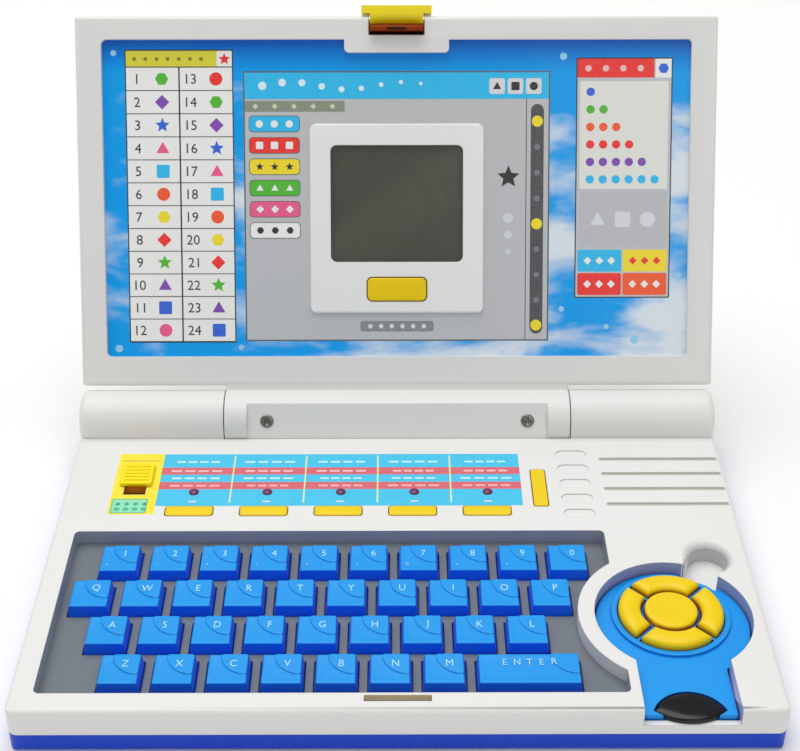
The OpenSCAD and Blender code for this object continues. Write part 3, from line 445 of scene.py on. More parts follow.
def sky_card(name, top, ground, mist):
    """Printed card behind gloss film: azure with a deeper band along the top, a painted shadow of
    the bezel, and mist that lies in flat banks 20 to 60 mm long, thickest at the right."""
    material, tree, shader, where = new_material(name)
    height = put(tree, "ShaderNodeVectorMath", {0: where, 1: (0, LID_COS, LID_SIN)},
                 operation="DOT_PRODUCT")
    foot = (HINGE_Y * LID_COS + HINGE_Z * LID_SIN) * MM
    climb = put(tree, "ShaderNodeMapRange", {"Value": height.outputs["Value"],
                                             "From Min": foot + 0.026, "From Max": foot + 0.157})
    fade = put(tree, "ShaderNodeValToRGB", {"Fac": climb.outputs[0]})
    ramp = fade.color_ramp.elements
    # painted shadow of the bezel: the last tenth of the height turns to the top colour
    ramp[0].position, ramp[0].color = 0.9, rgba(ground)
    ramp[1].position, ramp[1].color = 1.0, rgba(top)
    stretch = put(tree, "ShaderNodeMapping", {"Vector": where, "Location": (0.013, 0, 0),
                                              "Scale": (0.5, 1.1, 1.1)})
    banks = put(tree, "ShaderNodeTexNoise", {"Vector": stretch.outputs[0], "Scale": 1 / 0.021,
                                             "Detail": 6.0, "Roughness": 0.5, "Distortion": 0.25})
    roof = put(tree, "ShaderNodeMapRange", {"Value": climb.outputs[0], "From Min": 0.72,
                                            "From Max": 0.9, "To Min": 0.0, "To Max": -0.3},
               interpolation_type="SMOOTHSTEP")
    across = put(tree, "ShaderNodeVectorMath", {0: where, 1: (1, 0, 0)}, operation="DOT_PRODUCT")
    right = put(tree, "ShaderNodeMapRange", {"Value": across.outputs["Value"], "From Min": -0.12,
                                             "From Max": 0.09, "To Min": -0.03, "To Max": 0.055})
    lift = put(tree, "ShaderNodeMath", {0: banks.outputs[0], 1: roof.outputs[0]}, operation="ADD")
    lean = put(tree, "ShaderNodeMath", {0: lift.outputs[0], 1: right.outputs[0]}, operation="ADD")
    bank = put(tree, "ShaderNodeMapRange", {"Value": lean.outputs[0], "From Min": 0.5,
                                            "From Max": 0.66, "To Max": 0.95},
               interpolation_type="SMOOTHSTEP")
    haze = put(tree, "ShaderNodeMapRange", {"Value": lean.outputs[0], "From Min": 0.42,
                                            "From Max": 0.56, "To Max": 0.45},
               interpolation_type="SMOOTHSTEP")
    veil = put(tree, "ShaderNodeMix", {"Factor": haze.outputs[0], MIX_A: fade.outputs["Color"],
                                       MIX_B: rgba(mist)}, data_type="RGBA")
    colour = put(tree, "ShaderNodeMix", {"Factor": bank.outputs[0], MIX_A: veil.outputs[MIXED],
                                         MIX_B: rgba(mist)}, data_type="RGBA")
    waves = put(tree, "ShaderNodeTexNoise", {"Vector": where, "Scale": 1 / 0.03, "Detail": 1.0})
    relief = put(tree, "ShaderNodeBump", {"Height": waves.outputs[0], "Distance": 0.06 * MM,
                                          "Strength": 0.3})
    feed(tree, shader, {"Base Color": colour.outputs[MIXED], "Normal": relief.outputs[0],
                        "Roughness": 0.34, "Specular IOR Level": 0.25, "Coat Weight": 0.1,
                        "Coat Roughness": 0.06})
    return material


def display_glass(name, colour):
    """Reflective liquid-crystal cell: olive grey, darker at its rim in the frame's shade."""
    material, tree, shader, where = new_material(name)
    centre, half_w, half_h = Vector(on_lid(0, 90, 0)) * MM, 0.0275, 0.0242
    local = put(tree, "ShaderNodeVectorMath", {0: where, 1: tuple(centre)}, operation="SUBTRACT")
    across = put(tree, "ShaderNodeVectorMath", {0: local.outputs[0], 1: (1 / half_w, 0, 0)},
                 operation="DOT_PRODUCT")
    up = put(tree, "ShaderNodeVectorMath", {0: local.outputs[0],
                                            1: (0, LID_COS / half_h, LID_SIN / half_h)},
             operation="DOT_PRODUCT")
    side = put(tree, "ShaderNodeMath", {0: across.outputs["Value"]}, operation="ABSOLUTE")
    rise = put(tree, "ShaderNodeMath", {0: up.outputs["Value"]}, operation="ABSOLUTE")
    rim = put(tree, "ShaderNodeMath", {0: side.outputs[0], 1: rise.outputs[0]}, operation="MAXIMUM")
    shade = put(tree, "ShaderNodeMapRange", {"Value": rim.outputs[0], "From Min": 0.86,
                                             "From Max": 1.0}, interpolation_type="SMOOTHSTEP")
    # the real cells are 0.3 mm; drawn 0.8 mm apart so that the grid shows at all
    grid = put(tree, "ShaderNodeTexChecker", {"Vector": where, "Scale": 1 / 0.0008,
                                              "Color1": rgba(colour, 1.03),
                                              "Color2": rgba(colour, 0.97)})
    tone = put(tree, "ShaderNodeMix", {"Factor": shade.outputs[0], MIX_A: grid.outputs["Color"],
                                       MIX_B: rgba(colour, 0.35)}, data_type="RGBA")
    feed(tree, shader, {"Base Color": tone.outputs[MIXED], "Roughness": 0.3, "Coat Weight": 0.25})
    return material


def clear_pane(name):
    """Clear polystyrene window: almost unseen but for its gloss and a few hairline rubs."""
    material, tree, shader, where = new_material(name)
    rubs = put(tree, "ShaderNodeTexNoise", {"Vector": where, "Scale": 1 / 0.004, "Detail": 4.0})
    sheen = put(tree, "ShaderNodeMapRange", {"Value": rubs.outputs[0], "To Min": 0.03,
                                             "To Max": 0.14})
    feed(tree, shader, {"Roughness": sheen.outputs[0], "Base Color": rgba(linear("#C9CBC0")),
                        "IOR": 1.59, "Alpha": 0.1})
    return material


def screw_steel(name, colour):
    """Zinc-plated steel: grey metal with fine turning marks that break its gloss."""
    material, tree, shader, where = new_material(name)
    # the real marks are 0.15 mm apart; drawn 0.6 mm apart so that they still show
    marks = put(tree, "ShaderNodeTexNoise", {"Vector": where, "Scale": 1 / 0.0006, "Detail": 3.0})
    tone = put(tree, "ShaderNodeMix", {"Factor": marks.outputs[0], MIX_A: rgba(colour, 0.7),
                                       MIX_B: rgba(colour, 1.2)}, data_type="RGBA")
    relief = put(tree, "ShaderNodeBump", {"Height": marks.outputs[0], "Distance": 0.02 * MM,
                                          "Strength": 0.5})
    feed(tree, shader, {"Base Color": tone.outputs[MIXED], "Normal": relief.outputs[0],
                        "Metallic": 1.0, "Roughness": 0.34})
    return material


def circuit_laminate(name, colour):
    """Glass-fibre laminate under green lacquer: tracks 1.2 mm wide show as paler lines."""
    material, tree, shader, where = new_material(name)
    tracks = put(tree, "ShaderNodeTexBrick", {"Vector": where, "Scale": 1 / 0.012,
                                              "Mortar Size": 0.05, "Color1": rgba(colour),
                                              "Color2": rgba(colour, 0.85),
                                              "Mortar": rgba(colour, 1.9)})
    cloud = put(tree, "ShaderNodeTexNoise", {"Vector": where, "Scale": 1 / 0.003, "Detail": 2.0})
    relief = put(tree, "ShaderNodeBump", {"Height": cloud.outputs[0], "Distance": 0.02 * MM})
    feed(tree, shader, {"Base Color": tracks.outputs["Color"], "Normal": relief.outputs[0],
                        "Roughness": 0.28})
    return material


def cell_wrap(name, colour, end):
    """Shrink-wrapped cell: green sleeve with a copper band round one end, every cell alike."""
    material, tree, shader, where = new_material(name)
    # a cell is 50.5 mm long, and a wave repeats 3.2 times in one unit of its scale
    bands = put(tree, "ShaderNodeTexWave", {"Vector": where, "Scale": 1 / 0.0505 / 3.2,
                                            "Distortion": 0.0}, wave_type="BANDS",
                bands_direction="X", wave_profile="SIN")
    step = put(tree, "ShaderNodeMapRange", {"Value": bands.outputs[0], "From Min": 0.78,
                                            "From Max": 0.8})
    tone = put(tree, "ShaderNodeMix", {"Factor": step.outputs[0], MIX_A: rgba(colour),
                                       MIX_B: rgba(end)}, data_type="RGBA")
    feed(tree, shader, {"Base Color": tone.outputs[MIXED], "Roughness": 0.25, "Metallic": 0.4})
    return material


def speaker_paper(name, colour):
    """Pressed paper cone: fibrous grey-black with rings 4 mm apart."""
    material, tree, shader, where = new_material(name)
    low, high = box_mm("speaker")
    centre = [-(low[0] + high[0]) / 2 * MM, -(low[1] + high[1]) / 2 * MM, 0]
    centred = put(tree, "ShaderNodeMapping", {"Vector": where, "Location": centre})
    # a wave repeats 3.2 times in one unit of its scale
    rings = put(tree, "ShaderNodeTexWave", {"Vector": centred.outputs[0], "Scale": 1 / 0.002 / 6.3},
                wave_type="RINGS", rings_direction="Z")
    fibre = put(tree, "ShaderNodeTexNoise", {"Vector": where, "Scale": 1 / 0.0012, "Detail": 4.0})
    tone = put(tree, "ShaderNodeMix", {"Factor": fibre.outputs[0], MIX_A: rgba(colour, 0.7),
                                       MIX_B: rgba(colour, 1.5)}, data_type="RGBA")
    relief = put(tree, "ShaderNodeBump", {"Height": rings.outputs[0], "Distance": 0.25 * MM})
    feed(tree, shader, {"Base Color": tone.outputs[MIXED], "Normal": relief.outputs[0],
                        "Roughness": 0.85})
    return material


# ---------------------------------------------------------------- settings


def colour_setting(name, code, note):
    """Colour property whose default is an sRGB hex colour."""
    return FloatVectorProperty(name=name, description=note, subtype="COLOR", size=3, min=0.0,
                               max=1.0, default=linear(code))


def length_setting(name, value_mm, note, low, high):
    """Length property in millimetres."""
    return FloatProperty(name=name, description=note + ", in millimetres", default=value_mm,
                         min=low, max=high)


class ToyColours(bpy.types.PropertyGroup):
    """Colours of the moulded and printed parts"""

    casing: colour_setting("Casing", "#EBEAE7", "White plastic of the upper casing and the lid")
    dock_wall: colour_setting("Dock wall", "#A3ABD6",
                              "White plastic of the dock's wall, lit by the blue mouse")
    lower_shell: colour_setting("Lower shell", "#0842CC", "Blue plastic of the lower casing")
    deck: colour_setting("Key deck", "#747B82", "Grey plastic plate round the keys")
    key_top: colour_setting("Key top", "#089CF0", "Pale blue face of the keys")
    # painted shade: the keys' sides are drawn a deeper blue than their tops
    key_side: colour_setting("Key side", "#0866FF", "Deeper blue of the keys' sides")
    legend: colour_setting("Legend", "#B2EAFF", "Ink of the letters on the keys")
    button: colour_setting("Buttons", "#F8D400", "Yellow plastic of the buttons, slider and latch")
    mouse: colour_setting("Mouse", "#0C9CF0", "Blue plastic of the mouse")
    display: colour_setting("Display", "#2B2C0C", "Resting colour of the display")
    # painted shadow: the bezel's shadow along the picture's top edge
    sky_top: colour_setting("Picture top", "#0062CC", "Deeper band along the picture's top edge")
    sky: colour_setting("Picture ground", "#00A6F8", "Picture's ground")
    lamp: colour_setting("Lamps", "#6E1450", "Unlit lamps behind the function buttons")


class KeySizes(bpy.types.PropertyGroup):
    """Sizes of the keycaps"""

    corner: length_setting("Corner", 1.1, "Corner radius of a keycap seen from above", 0.2, 3)
    edge: length_setting("Top edge", 0.45, "Rounding of a keycap's top edge", 0.1, 1)
    lean: length_setting("Lean", 0.8, "How far each side leans in", 0.2, 1.4)
    dish: length_setting("Dish", 0.22, "Hollow of the top face", 0, 0.4)
    step: length_setting("Step", 0.35, "Height of the raised corner", 0.1, 0.6)
    sweep: length_setting("Corner sweep", 9.8, "Radius of the raised corner", 5, 12)
    letter: length_setting("Letter", 3.4, "Height of a letter", 2, 5)


class ButtonSizes(bpy.types.PropertyGroup):
    """Sizes of the buttons and slider"""

    edge: length_setting("Edge", 0.6, "Rounding of the buttons' edges", 0.2, 1.5)
    ring_edge: length_setting("Ring edge", 2.0, "Rounding of the mouse's direction buttons", 0.5, 3)
    ridges: IntProperty(name="Slider ridges", description="Ridges on the slider's knob", default=5,
                        min=3, max=9)


class ScrewSizes(bpy.types.PropertyGroup):
    """Sizes of the screws"""

    head: length_setting("Head", 4.0, "Diameter of a closing screw's head", 2, 6)
    hinge_head: length_setting("Hinge head", 5.6, "Diameter of the heads of the two hinge screws",
                               3, 7)
    recess: length_setting("Recess", 0.7, "Depth of the cross recess", 0.3, 1.2)


class StageSettings(bpy.types.PropertyGroup):
    """Floor, lamps and camera"""

    floor: colour_setting("Floor", "#FCFCFB", "Colour of the floor")
    key_power: FloatProperty(name="Overhead lamp", description="Power of the large lamp above",
                             default=55.0, min=0.0, unit="POWER")
    fill_power: FloatProperty(name="Front lamp", description="Power of the lamp at the front",
                              default=6.0, min=0.0, unit="POWER")
    room: FloatProperty(name="Room", description="Brightness of the room's white walls",
                        default=0.41, min=0.0)
    focal: FloatProperty(name="Lens", description="Camera's focal length", default=70.3, min=20,
                         max=200, unit="CAMERA")


def settings():
    """The scene, which holds the groups of settings."""
    return bpy.context.scene


def casing_abs():
    # spark-eroded ABS: satin white, an even fine grain, a painted highlight on its edges
    return moulded_plastic("white ABS, fine spark grain", settings().toy_colours.casing,
                           roughness=0.42, grain_mm=0.6, grain_depth=0.012, mottle=0.02,
                           edge_mm=0.6, edge_highlight=1.03)


def lower_abs():
    # the same ABS through-coloured royal blue, a little glossier as it is less handled, with a
    # painted highlight on its edges
    return moulded_plastic("royal blue ABS", settings().toy_colours.lower_shell, roughness=0.36,
                           grain_mm=0.6, grain_depth=0.008, mottle=0.06, edge_mm=0.6,
                           edge_highlight=1.25, gloss=0.25)


def button_abs():
    # polished yellow ABS: clean gloss, a painted highlight on its edges and painted orange-brown
    # shade in its corners
    return moulded_plastic("yellow ABS, polished", settings().toy_colours.button, roughness=0.32,
                           edge_mm=0.35, edge_highlight=1.06, coat=0.05, gloss=0.25, deep="#B86A00")


# ---------------------------------------------------------------- pieces

CASING_PIECES = (
    ("base_top_shell", "base_upper_casing", "base", "white_casing", casing_abs),
    ("base_bottom_shell", "base_lower_casing", "base", "blue_casing", lower_abs),
    ("battery_door", "battery_cover", "base", "blue_casing", lower_abs),
    ("lid_front_shell", "lid_face_casing", "lid", "white_casing", casing_abs),
    ("lid_back_shell", "lid_rear_casing", "lid", "white_casing", casing_abs),
)


class TOY_OT_casings(bpy.types.Operator):
    """Dress the casings of the base and the lid"""

    bl_idname = "toy_laptop.casings"
    bl_label = "Casings"

    def execute(self, context):
        for node, name, body, slot, material in CASING_PIECES:
            casing = merged_copy(node, name, material())
            if node == "base_top_shell":
                self.shade_walls(casing.data)
            elif node == "lid_front_shell":
                self.polish_surround(casing.data)
            finish_piece(casing, body, slot, node)
        # matt grey ABS plate that shows between the keys
        deck = moulded_plastic("grey ABS, matt", settings().toy_colours.deck, roughness=0.5,
                               grain_mm=0.7, grain_depth=0.02, mottle=0.06, gloss=0.35)
        dress("key_deck", "key_plate", "base", "grey_deck", deck)
        # wool felt strips pressed into the speaker's slots: soft grey, quite without gloss
        felt = moulded_plastic("grey wool felt", linear("#B9B7AA"), roughness=0.9, grain_mm=0.3,
                               grain_depth=0.05, mottle=0.1, edge_mm=0.2, edge_highlight=1.0)
        shape, left, right, half = Shape(), 82.65, 130.95, 0.9
        for y in (21.4, 31.2, 41.0, 50.8):
            shape.rise(round_rect(left, right, y - half, y + half, 0.85),
                       [(0, DECK_Z - 1.6), (0, DECK_Z - 0.5)])
        finish_piece(shape.make("speaker_felt", [felt]), "base", "speaker")
        return {"FINISHED"}

    def polish_surround(self, mesh):
        """Gives the raised surround of the screen a smoother face than the lid's grained one."""
        # the lid's white ABS from a finer mould face: brighter, with hardly any grain
        mesh.materials.append(moulded_plastic("white ABS, smooth", linear("#F5F5F2"), grain_mm=0.6,
                                              grain_depth=0.006, mottle=0.02, edge_mm=0.6,
                                              edge_highlight=1.03))
        half, low, high, inside = 37, 30, 130, []
        for vertex in mesh.vertices:
            x, u, n = off_lid(vertex.co)
            inside.append(abs(x) < half and low < u < high and n > PANEL_N - 0.3)
        for face in mesh.polygons:
            if all(inside[i] for i in face.vertices):
                face.material_index = 1

    def shade_walls(self, mesh):
        """Tones the upright walls beside the mouse, the keys, the finger pocket, the slider and the
        catch's slot, which are the same white plastic in their neighbours' shade."""
        (x0, _, _), (x1, y1, _) = box_mm("mouse_bottom_shell")
        (left, front, _), (right, rear, _) = box_mm("key_deck")
        dock_x, dock_r = (x0 + x1) / 2, (x1 - x0) / 2
        dock_y, neck_half = y1 - dock_r, 17.5
        pocket_x, pocket_y, pocket_r = dock_x + 18.1, dock_y + 32.6, 7.9
        slot_x0, slot_x1, slot_y0, slot_y1 = -110, -99.5, 26, 44
        catch_half, catch_y0, catch_y1 = 12, front - 6, front + 0.6
        upright, beside = 0.3, 1.5  # most rise of a wall's normal, and a wall's way from the plate
        tints = {"white ABS in blue light": settings().toy_colours.dock_wall,
                 "white ABS in the keys' shade": linear("#A2AAB6"),
                 "white ABS in the pocket's shade": linear("#C6C6C6"),
                 "white ABS in yellow light": linear("#F0A010"),
                 "white ABS in the slot's shade": linear("#F4E2BE")}
        blue, keys, pocket, yellow, catch = range(1, 6)
        for name, tint in tints.items():
            mesh.materials.append(moulded_plastic(name, tint, roughness=0.42, grain_mm=0.6,
                                                  grain_depth=0.012, mottle=0.02))
        for face in mesh.polygons:
            x, y, z = (v / MM for v in face.center)
            away = math.hypot(x - dock_x, y - dock_y)
            by_keys = left - beside < x < right + beside and front - beside < y < rear + beside
            if abs(face.normal.z) > upright or z > DECK_Z - 0.3:
                continue
            if dock_r - 0.4 < away < dock_r + 1.1 or (y < dock_y and abs(x - dock_x) < neck_half):
                face.material_index = blue
            elif math.hypot(x - pocket_x, y - pocket_y) < pocket_r:
                face.material_index = pocket
            elif slot_x0 < x < slot_x1 and slot_y0 < y < slot_y1:
                face.material_index = yellow
            elif abs(x) < catch_half and catch_y0 < y < catch_y1:
                face.material_index = catch
            elif by_keys and away > dock_r + 8:
                face.material_index = keys


def keycap(shape, x, y, foot, top, w, d, sizes):
    """One keycap: straight foot, leaning sides, dished top and a raised far right corner."""
    lean, edge, low_top = sizes.lean, sizes.edge, top - sizes.step
    outline = round_rect(x - w / 2, x + w / 2, y - d / 2, y + d / 2, sizes.corner, 4)
    sides = [(0, foot), (0, DECK_Z - 6), (lean * 0.9, low_top - edge)]
    rim = [(lean + i, z) for i, z in round_edge(edge, low_top)[1:]]
    hollow = [(lean + edge + s * 2.2, low_top - sizes.dish * s * s) for s in (0.4, 0.75, 1.0)]
    profile = sides + rim + hollow
    # foot and sides take the painted-shade material, rim and top the lit one
    shape.rise(outline, profile, [1] * 4 + [0] * (len(profile) - 3))
    right, far, r = x + w / 2 - lean, y + d / 2 - lean, sizes.sweep
    arc = [(right + r * math.cos(a), far + r * math.sin(a)) for a in
           (math.radians(180 + 90 * i / 16) for i in range(17))]
    tip = [(right, far - r), (right, far), (right - r, far)]
    corner = round_corners(tip, sizes.corner, 4)[1:-1]
    outline = arc + [q for q in corner if min(math.dist(q, arc[0]), math.dist(q, arc[-1])) > 0.3]
    shape.rise(outline, [(0.05, top - 1.4), (0.05, top - 0.28), (0.1, top - 0.1),
                         (0.25, top - 0.02), (0.5, top)])


def add_legend(shape, words, x, y, z, height):
    """Slightly raised print, narrower than the type, whose foot is sunk in the cap."""
    narrow, sunk, depth = 0.84, 0.03, 0.09
    verts, faces = lettering(words, height, depth)
    shape.add([(x + a * narrow, y + b, z - sunk + c) for a, b, c in verts], faces, 2)


class TOY_OT_keycaps(bpy.types.Operator):
    """Make the keycaps with their legends"""

    bl_idname = "toy_laptop.keycaps"
    bl_label = "Keycaps"

    def execute(self, context):
        colours, sizes = settings().toy_colours, settings().toy_keys
        # styrene: a glossy top in the key's lit colour, the sides in a deeper blue that is painted
        # shade, and a painted highlight on all edges
        top = moulded_plastic("sky blue styrene, key tops", colours.key_top, roughness=0.33,
                              mottle=0.04, edge_mm=0.4, edge_highlight=1.35, coat=0.05, gloss=0.3)
        side = moulded_plastic("deep blue styrene, key sides", colours.key_side, roughness=0.36,
                               mottle=0.05, edge_mm=0.4, edge_highlight=1.5, gloss=0.3)
        # pad-printed ink: pale, slightly raised and a little worn
        ink = moulded_plastic("pad-printed pale ink", colours.legend, roughness=0.4, grain_mm=0.4,
                              grain_depth=0.01, mottle=0.12, edge_mm=0.05, edge_highlight=1.05)
        materials = [top, side, ink]
        # a legend stands right of and behind the cap's middle, by these shares of the cap
        aside, behind = 0.12, 0.15
        for letter in "qwertyuiopasdfghjklzxcvbnm":
            node, shape = f"key_{letter}", Shape()
            (x0, y0, z0), (x1, y1, z1) = box_mm(node)
            x, y = (x0 + x1) / 2, (y0 + y1) / 2
            w, d = x1 - x0 - 2 * KEY_SKIRT, y1 - y0 - 2 * KEY_SKIRT
            keycap(shape, x, y, z0, z1, w, d, sizes)
            add_legend(shape, letter.upper(), x + w * aside, y + d * behind, z1, sizes.letter)
            finish_piece(shape.make(f"keycap_{letter}", materials), f"letter_{letter}",
                         "light_blue", node)
        (x0, y0, z0), (x1, y1, z1) = box_mm("number_keys")
        shape, w, d = Shape(), 15.2, y1 - y0 - 2 * KEY_SKIRT
        for i, (digit, sign) in enumerate(zip("1234567890", "+-x/=?%<>.")):
            x = x0 + KEY_SKIRT + w / 2 + i * (x1 - x0 - 2 * KEY_SKIRT - w) / 9
            y = (y0 + y1) / 2
            keycap(shape, x, y, z0, z1, w, d, sizes)
            add_legend(shape, digit, x + w * aside, y + d * behind, z1, sizes.letter)
            add_legend(shape, sign, x - w * 0.28, y - d * 0.24, z1 - sizes.step,
                       sizes.letter * 0.55)
        finish_piece(shape.make("number_keycaps", materials), "numbers", "light_blue",
                     "number_keys")
        (x0, y0, z0), (x1, y1, z1) = box_mm("enter_key")
        shape, first, pitch = Shape(), -8.4, 4.3
        x, y = (x0 + x1) / 2, (y0 + y1) / 2
        keycap(shape, x, y, z0, z1, x1 - x0 - 2 * KEY_SKIRT, y1 - y0 - 2 * KEY_SKIRT, sizes)
        for i, letter in enumerate("ENTER"):
            # the last letter stands on the raised corner
            z = z1 if i == 4 else z1 - sizes.step
            add_legend(shape, letter, x + first + i * pitch, y + 3, z, sizes.letter * 0.9)
        finish_piece(shape.make("enter_keycap", materials), "enter", "light_blue", "enter_key")
        return {"FINISHED"}


def deck_button(name, body, node, edge, material, flange=1.0, corner=1.0):
    """Flanged button with a softly crowned top, in a hole of the deck."""
    (x0, y0, z0), (x1, y1, z1) = box_mm(node)
    shape, thick, crown, out = Shape(), 4.1, 0.12, 0.12
    shape.rise(round_rect(x0, x1, y0, y1, corner + flange), [(0, z0), (0, z0 + thick)])
    step = flange - out
    outline = round_rect(x0 + step, x1 - step, y0 + step, y1 - step, corner + 0.3)
    rim = round_edge(edge, z1 - crown)
    shape.rise(outline, [(0, z0 + thick - 0.1)] + rim + [(edge + 0.7, z1 - 0.05), (edge + 1.4, z1)])
    finish_piece(shape.make(name, [material]), body, "yellow_button", node)


class TOY_OT_controls(bpy.types.Operator):
    """Make the function buttons, the power bar, the slider, the screen button and the latch"""

    bl_idname = "toy_laptop.controls"
    bl_label = "Controls"

    def execute(self, context):
        sizes, yellow = settings().toy_buttons, button_abs()
        # the same polished ABS in a fresher yellow: clean gloss, evenly bright
        knob = moulded_plastic("yellow ABS, slider", linear("#FFEA00"), edge_mm=0.35, coat=0.05,
                               gloss=0.25)
        for i in range(1, FUNCTION_COUNT + 1):
            deck_button(f"function_bar_{i}", f"function_{i}", f"function_button_{i}", sizes.edge,
                        yellow)
        deck_button("power_bar", "power", "power_button", sizes.edge, yellow, corner=0.8)
        self.slider(sizes, knob)
        shape, edge, half, low, high, flange = Shape(on_lid), sizes.edge, 12.3, 49.6, 59.2, 1.2
        shape.rise(round_rect(-half - flange, half + flange, low - flange, high + flange, 3),
                   [(0, -5.1), (0, -3.9)])
        shape.rise(round_rect(-half, half, low, high, 2),
                   [(0, -5)] + round_edge(edge, 0.85) + [(edge + 1.2, 0.95), (edge + 2.2, 1.0)])
        finish_piece(shape.make("screen_bar", [yellow]), "screen_press", "yellow_button",
                     "screen_button")
        self.catch()
        return {"FINISHED"}

    def catch(self):
        """Sprung catch: bright in the light, amber on the tongue that stands in its shade."""
        # the tab in a brighter yellow as painted light, polished with a clean gloss; the tongue in
        # amber as painted shade, matt and dull
        bright = moulded_plastic("yellow ABS, thumb tab", linear("#FFE800"), roughness=0.32,
                                 edge_mm=0.35)
        amber = moulded_plastic("amber ABS, tongue", linear("#8C3400"), roughness=0.6, edge_mm=0.35,
                                gloss=0.1)
        obj = merged_copy("latch", "lid_catch", bright)
        obj.data.materials.append(amber)
        shade_u, tongue_u0, tongue_u1, tongue_n = 163.4, 160.62, 161.7, 5.83
        for face in obj.data.polygons:
            if off_lid(face.center)[1] < shade_u:
                face.material_index = 1
        finish_piece(obj, "latch", "yellow_button", "latch")
        shadow_patch = Shape(on_lid)
        shadow_patch.rise(round_rect(-4, 4, tongue_u0, tongue_u1, 0.2), [(0, 5.2), (0, tongue_n)])
        # painted shadow: a matt, almost black patch on the tongue's end, where its middle lies in
        # shade
        sink = moulded_plastic("dark sink of the tongue", linear("#2A0C08"), roughness=0.7,
                               edge_mm=0.2, edge_highlight=1.0, gloss=0.2)
        finish_piece(shadow_patch.make("catch_sink", [sink]), "latch", "yellow_button")

    def slider(self, sizes, plastic):
        """Knob on its stem, ridged across by a Geometry Nodes row of rounded bars."""
        (x0, y0, z0), (x1, y1, z1) = box_mm("activity_slider")
        x, y, top = (x0 + x1) / 2, (y0 + y1) / 2, z1 - 0.5
        shape = Shape()
        shape.rise(round_rect(x0, x1, y0, y1, 1.2),
                   [(0, DECK_Z + 0.4)] + round_edge(sizes.edge, top))
        shape.rise(round_rect(x - 4, x + 4, y - 4.7, y + 3.3, 0.4), [(0, z0), (0, DECK_Z + 0.6)], 1)
        shape.rise(round_rect(x0 + 0.4, x1 - 0.4, y - 6.2, y + 4.8, 0.6), [(0, z0), (0, z0 + 1.4)],
                   1)
        # painted shade: the knob's carrier, seen through the slot, is drawn a stronger orange
        carrier = moulded_plastic("orange ABS, carrier", linear("#FFA42C"), roughness=0.4,
                                  gloss=0.3)
        body = shape.make("slider_knob", [plastic, carrier])
        ridge = Shape()
        ridge.rise(round_rect(-(x1 - x0) / 2 + 1.5, (x1 - x0) / 2 - 1.5, -0.45, 0.45, 0.35, 3),
                   [(0, -0.5)] + round_edge(0.35, 0.49, 3))
        pitch, first = 2.2, (sizes.ridges - 1) / 2
        bars = repeated("slider_ridges", ridge.make("ridge", [plastic]), plastic,
                        [((x, y + (i - first) * pitch, top), (0, 0, 1))
                         for i in range(sizes.ridges)])
        finish_piece(body, "slider", "yellow_button", "activity_slider")
        finish_piece(bars, "slider", "yellow_button")


def repeated(name, item, material, places):
    """Plain mesh of the item at each (place in mm, way its top points), by Geometry Nodes."""
    mesh = bpy.data.meshes.new(name)
    mesh.from_pydata([[c * MM for c in p] for p, _ in places], [], [])
    aims = mesh.attributes.new("aim", "FLOAT_VECTOR", "POINT")
    aims.data.foreach_set("vector", [c for _, aim in places for c in aim])
    obj = bpy.data.objects.new(name, mesh)
    bpy.context.scene.collection.objects.link(obj)
    tree = bpy.data.node_groups.new(name, "GeometryNodeTree")
    face = tree.interface
    face.new_socket("Geometry", in_out="INPUT", socket_type="NodeSocketGeometry")
    item_socket = face.new_socket("Item", in_out="INPUT", socket_type="NodeSocketObject")
    size_socket = face.new_socket("Size", in_out="INPUT", socket_type="NodeSocketFloat")
    finish_socket = face.new_socket("Finish", in_out="INPUT", socket_type="NodeSocketMaterial")
    face.new_socket("Geometry", in_out="OUTPUT", socket_type="NodeSocketGeometry")
    given = put(tree, "NodeGroupInput").outputs
    info = put(tree, "GeometryNodeObjectInfo", {"Object": given["Item"]})
    aim = put(tree, "GeometryNodeInputNamedAttribute", {"Name": "aim"}, data_type="FLOAT_VECTOR")
    turned = put(tree, "FunctionNodeAlignRotationToVector", {"Vector": aim.outputs["Attribute"]},
                 axis="Z")
    spread = put(tree, "GeometryNodeInstanceOnPoints",
                 {"Points": given["Geometry"], "Instance": info.outputs["Geometry"],
                  "Rotation": turned.outputs[0], "Scale": given["Size"]})
    whole = put(tree, "GeometryNodeRealizeInstances", {"Geometry": spread.outputs[0]})
    inked = put(tree, "GeometryNodeSetMaterial",
                {"Geometry": whole.outputs[0], "Material": given["Finish"]})
    put(tree, "NodeGroupOutput", {"Geometry": inked.outputs[0]})
    modifier = obj.modifiers.new("Repeat", "NODES")
    modifier.node_group = tree
    modifier[item_socket.identifier] = item
    modifier[size_socket.identifier] = 1.0
    modifier[finish_socket.identifier] = material
    baked(obj)
    bpy.data.objects.remove(item)
    bpy.data.node_groups.remove(tree)
    if not obj.data.polygons:
        raise RuntimeError(f"{name}: the repeat made no faces")
    return obj


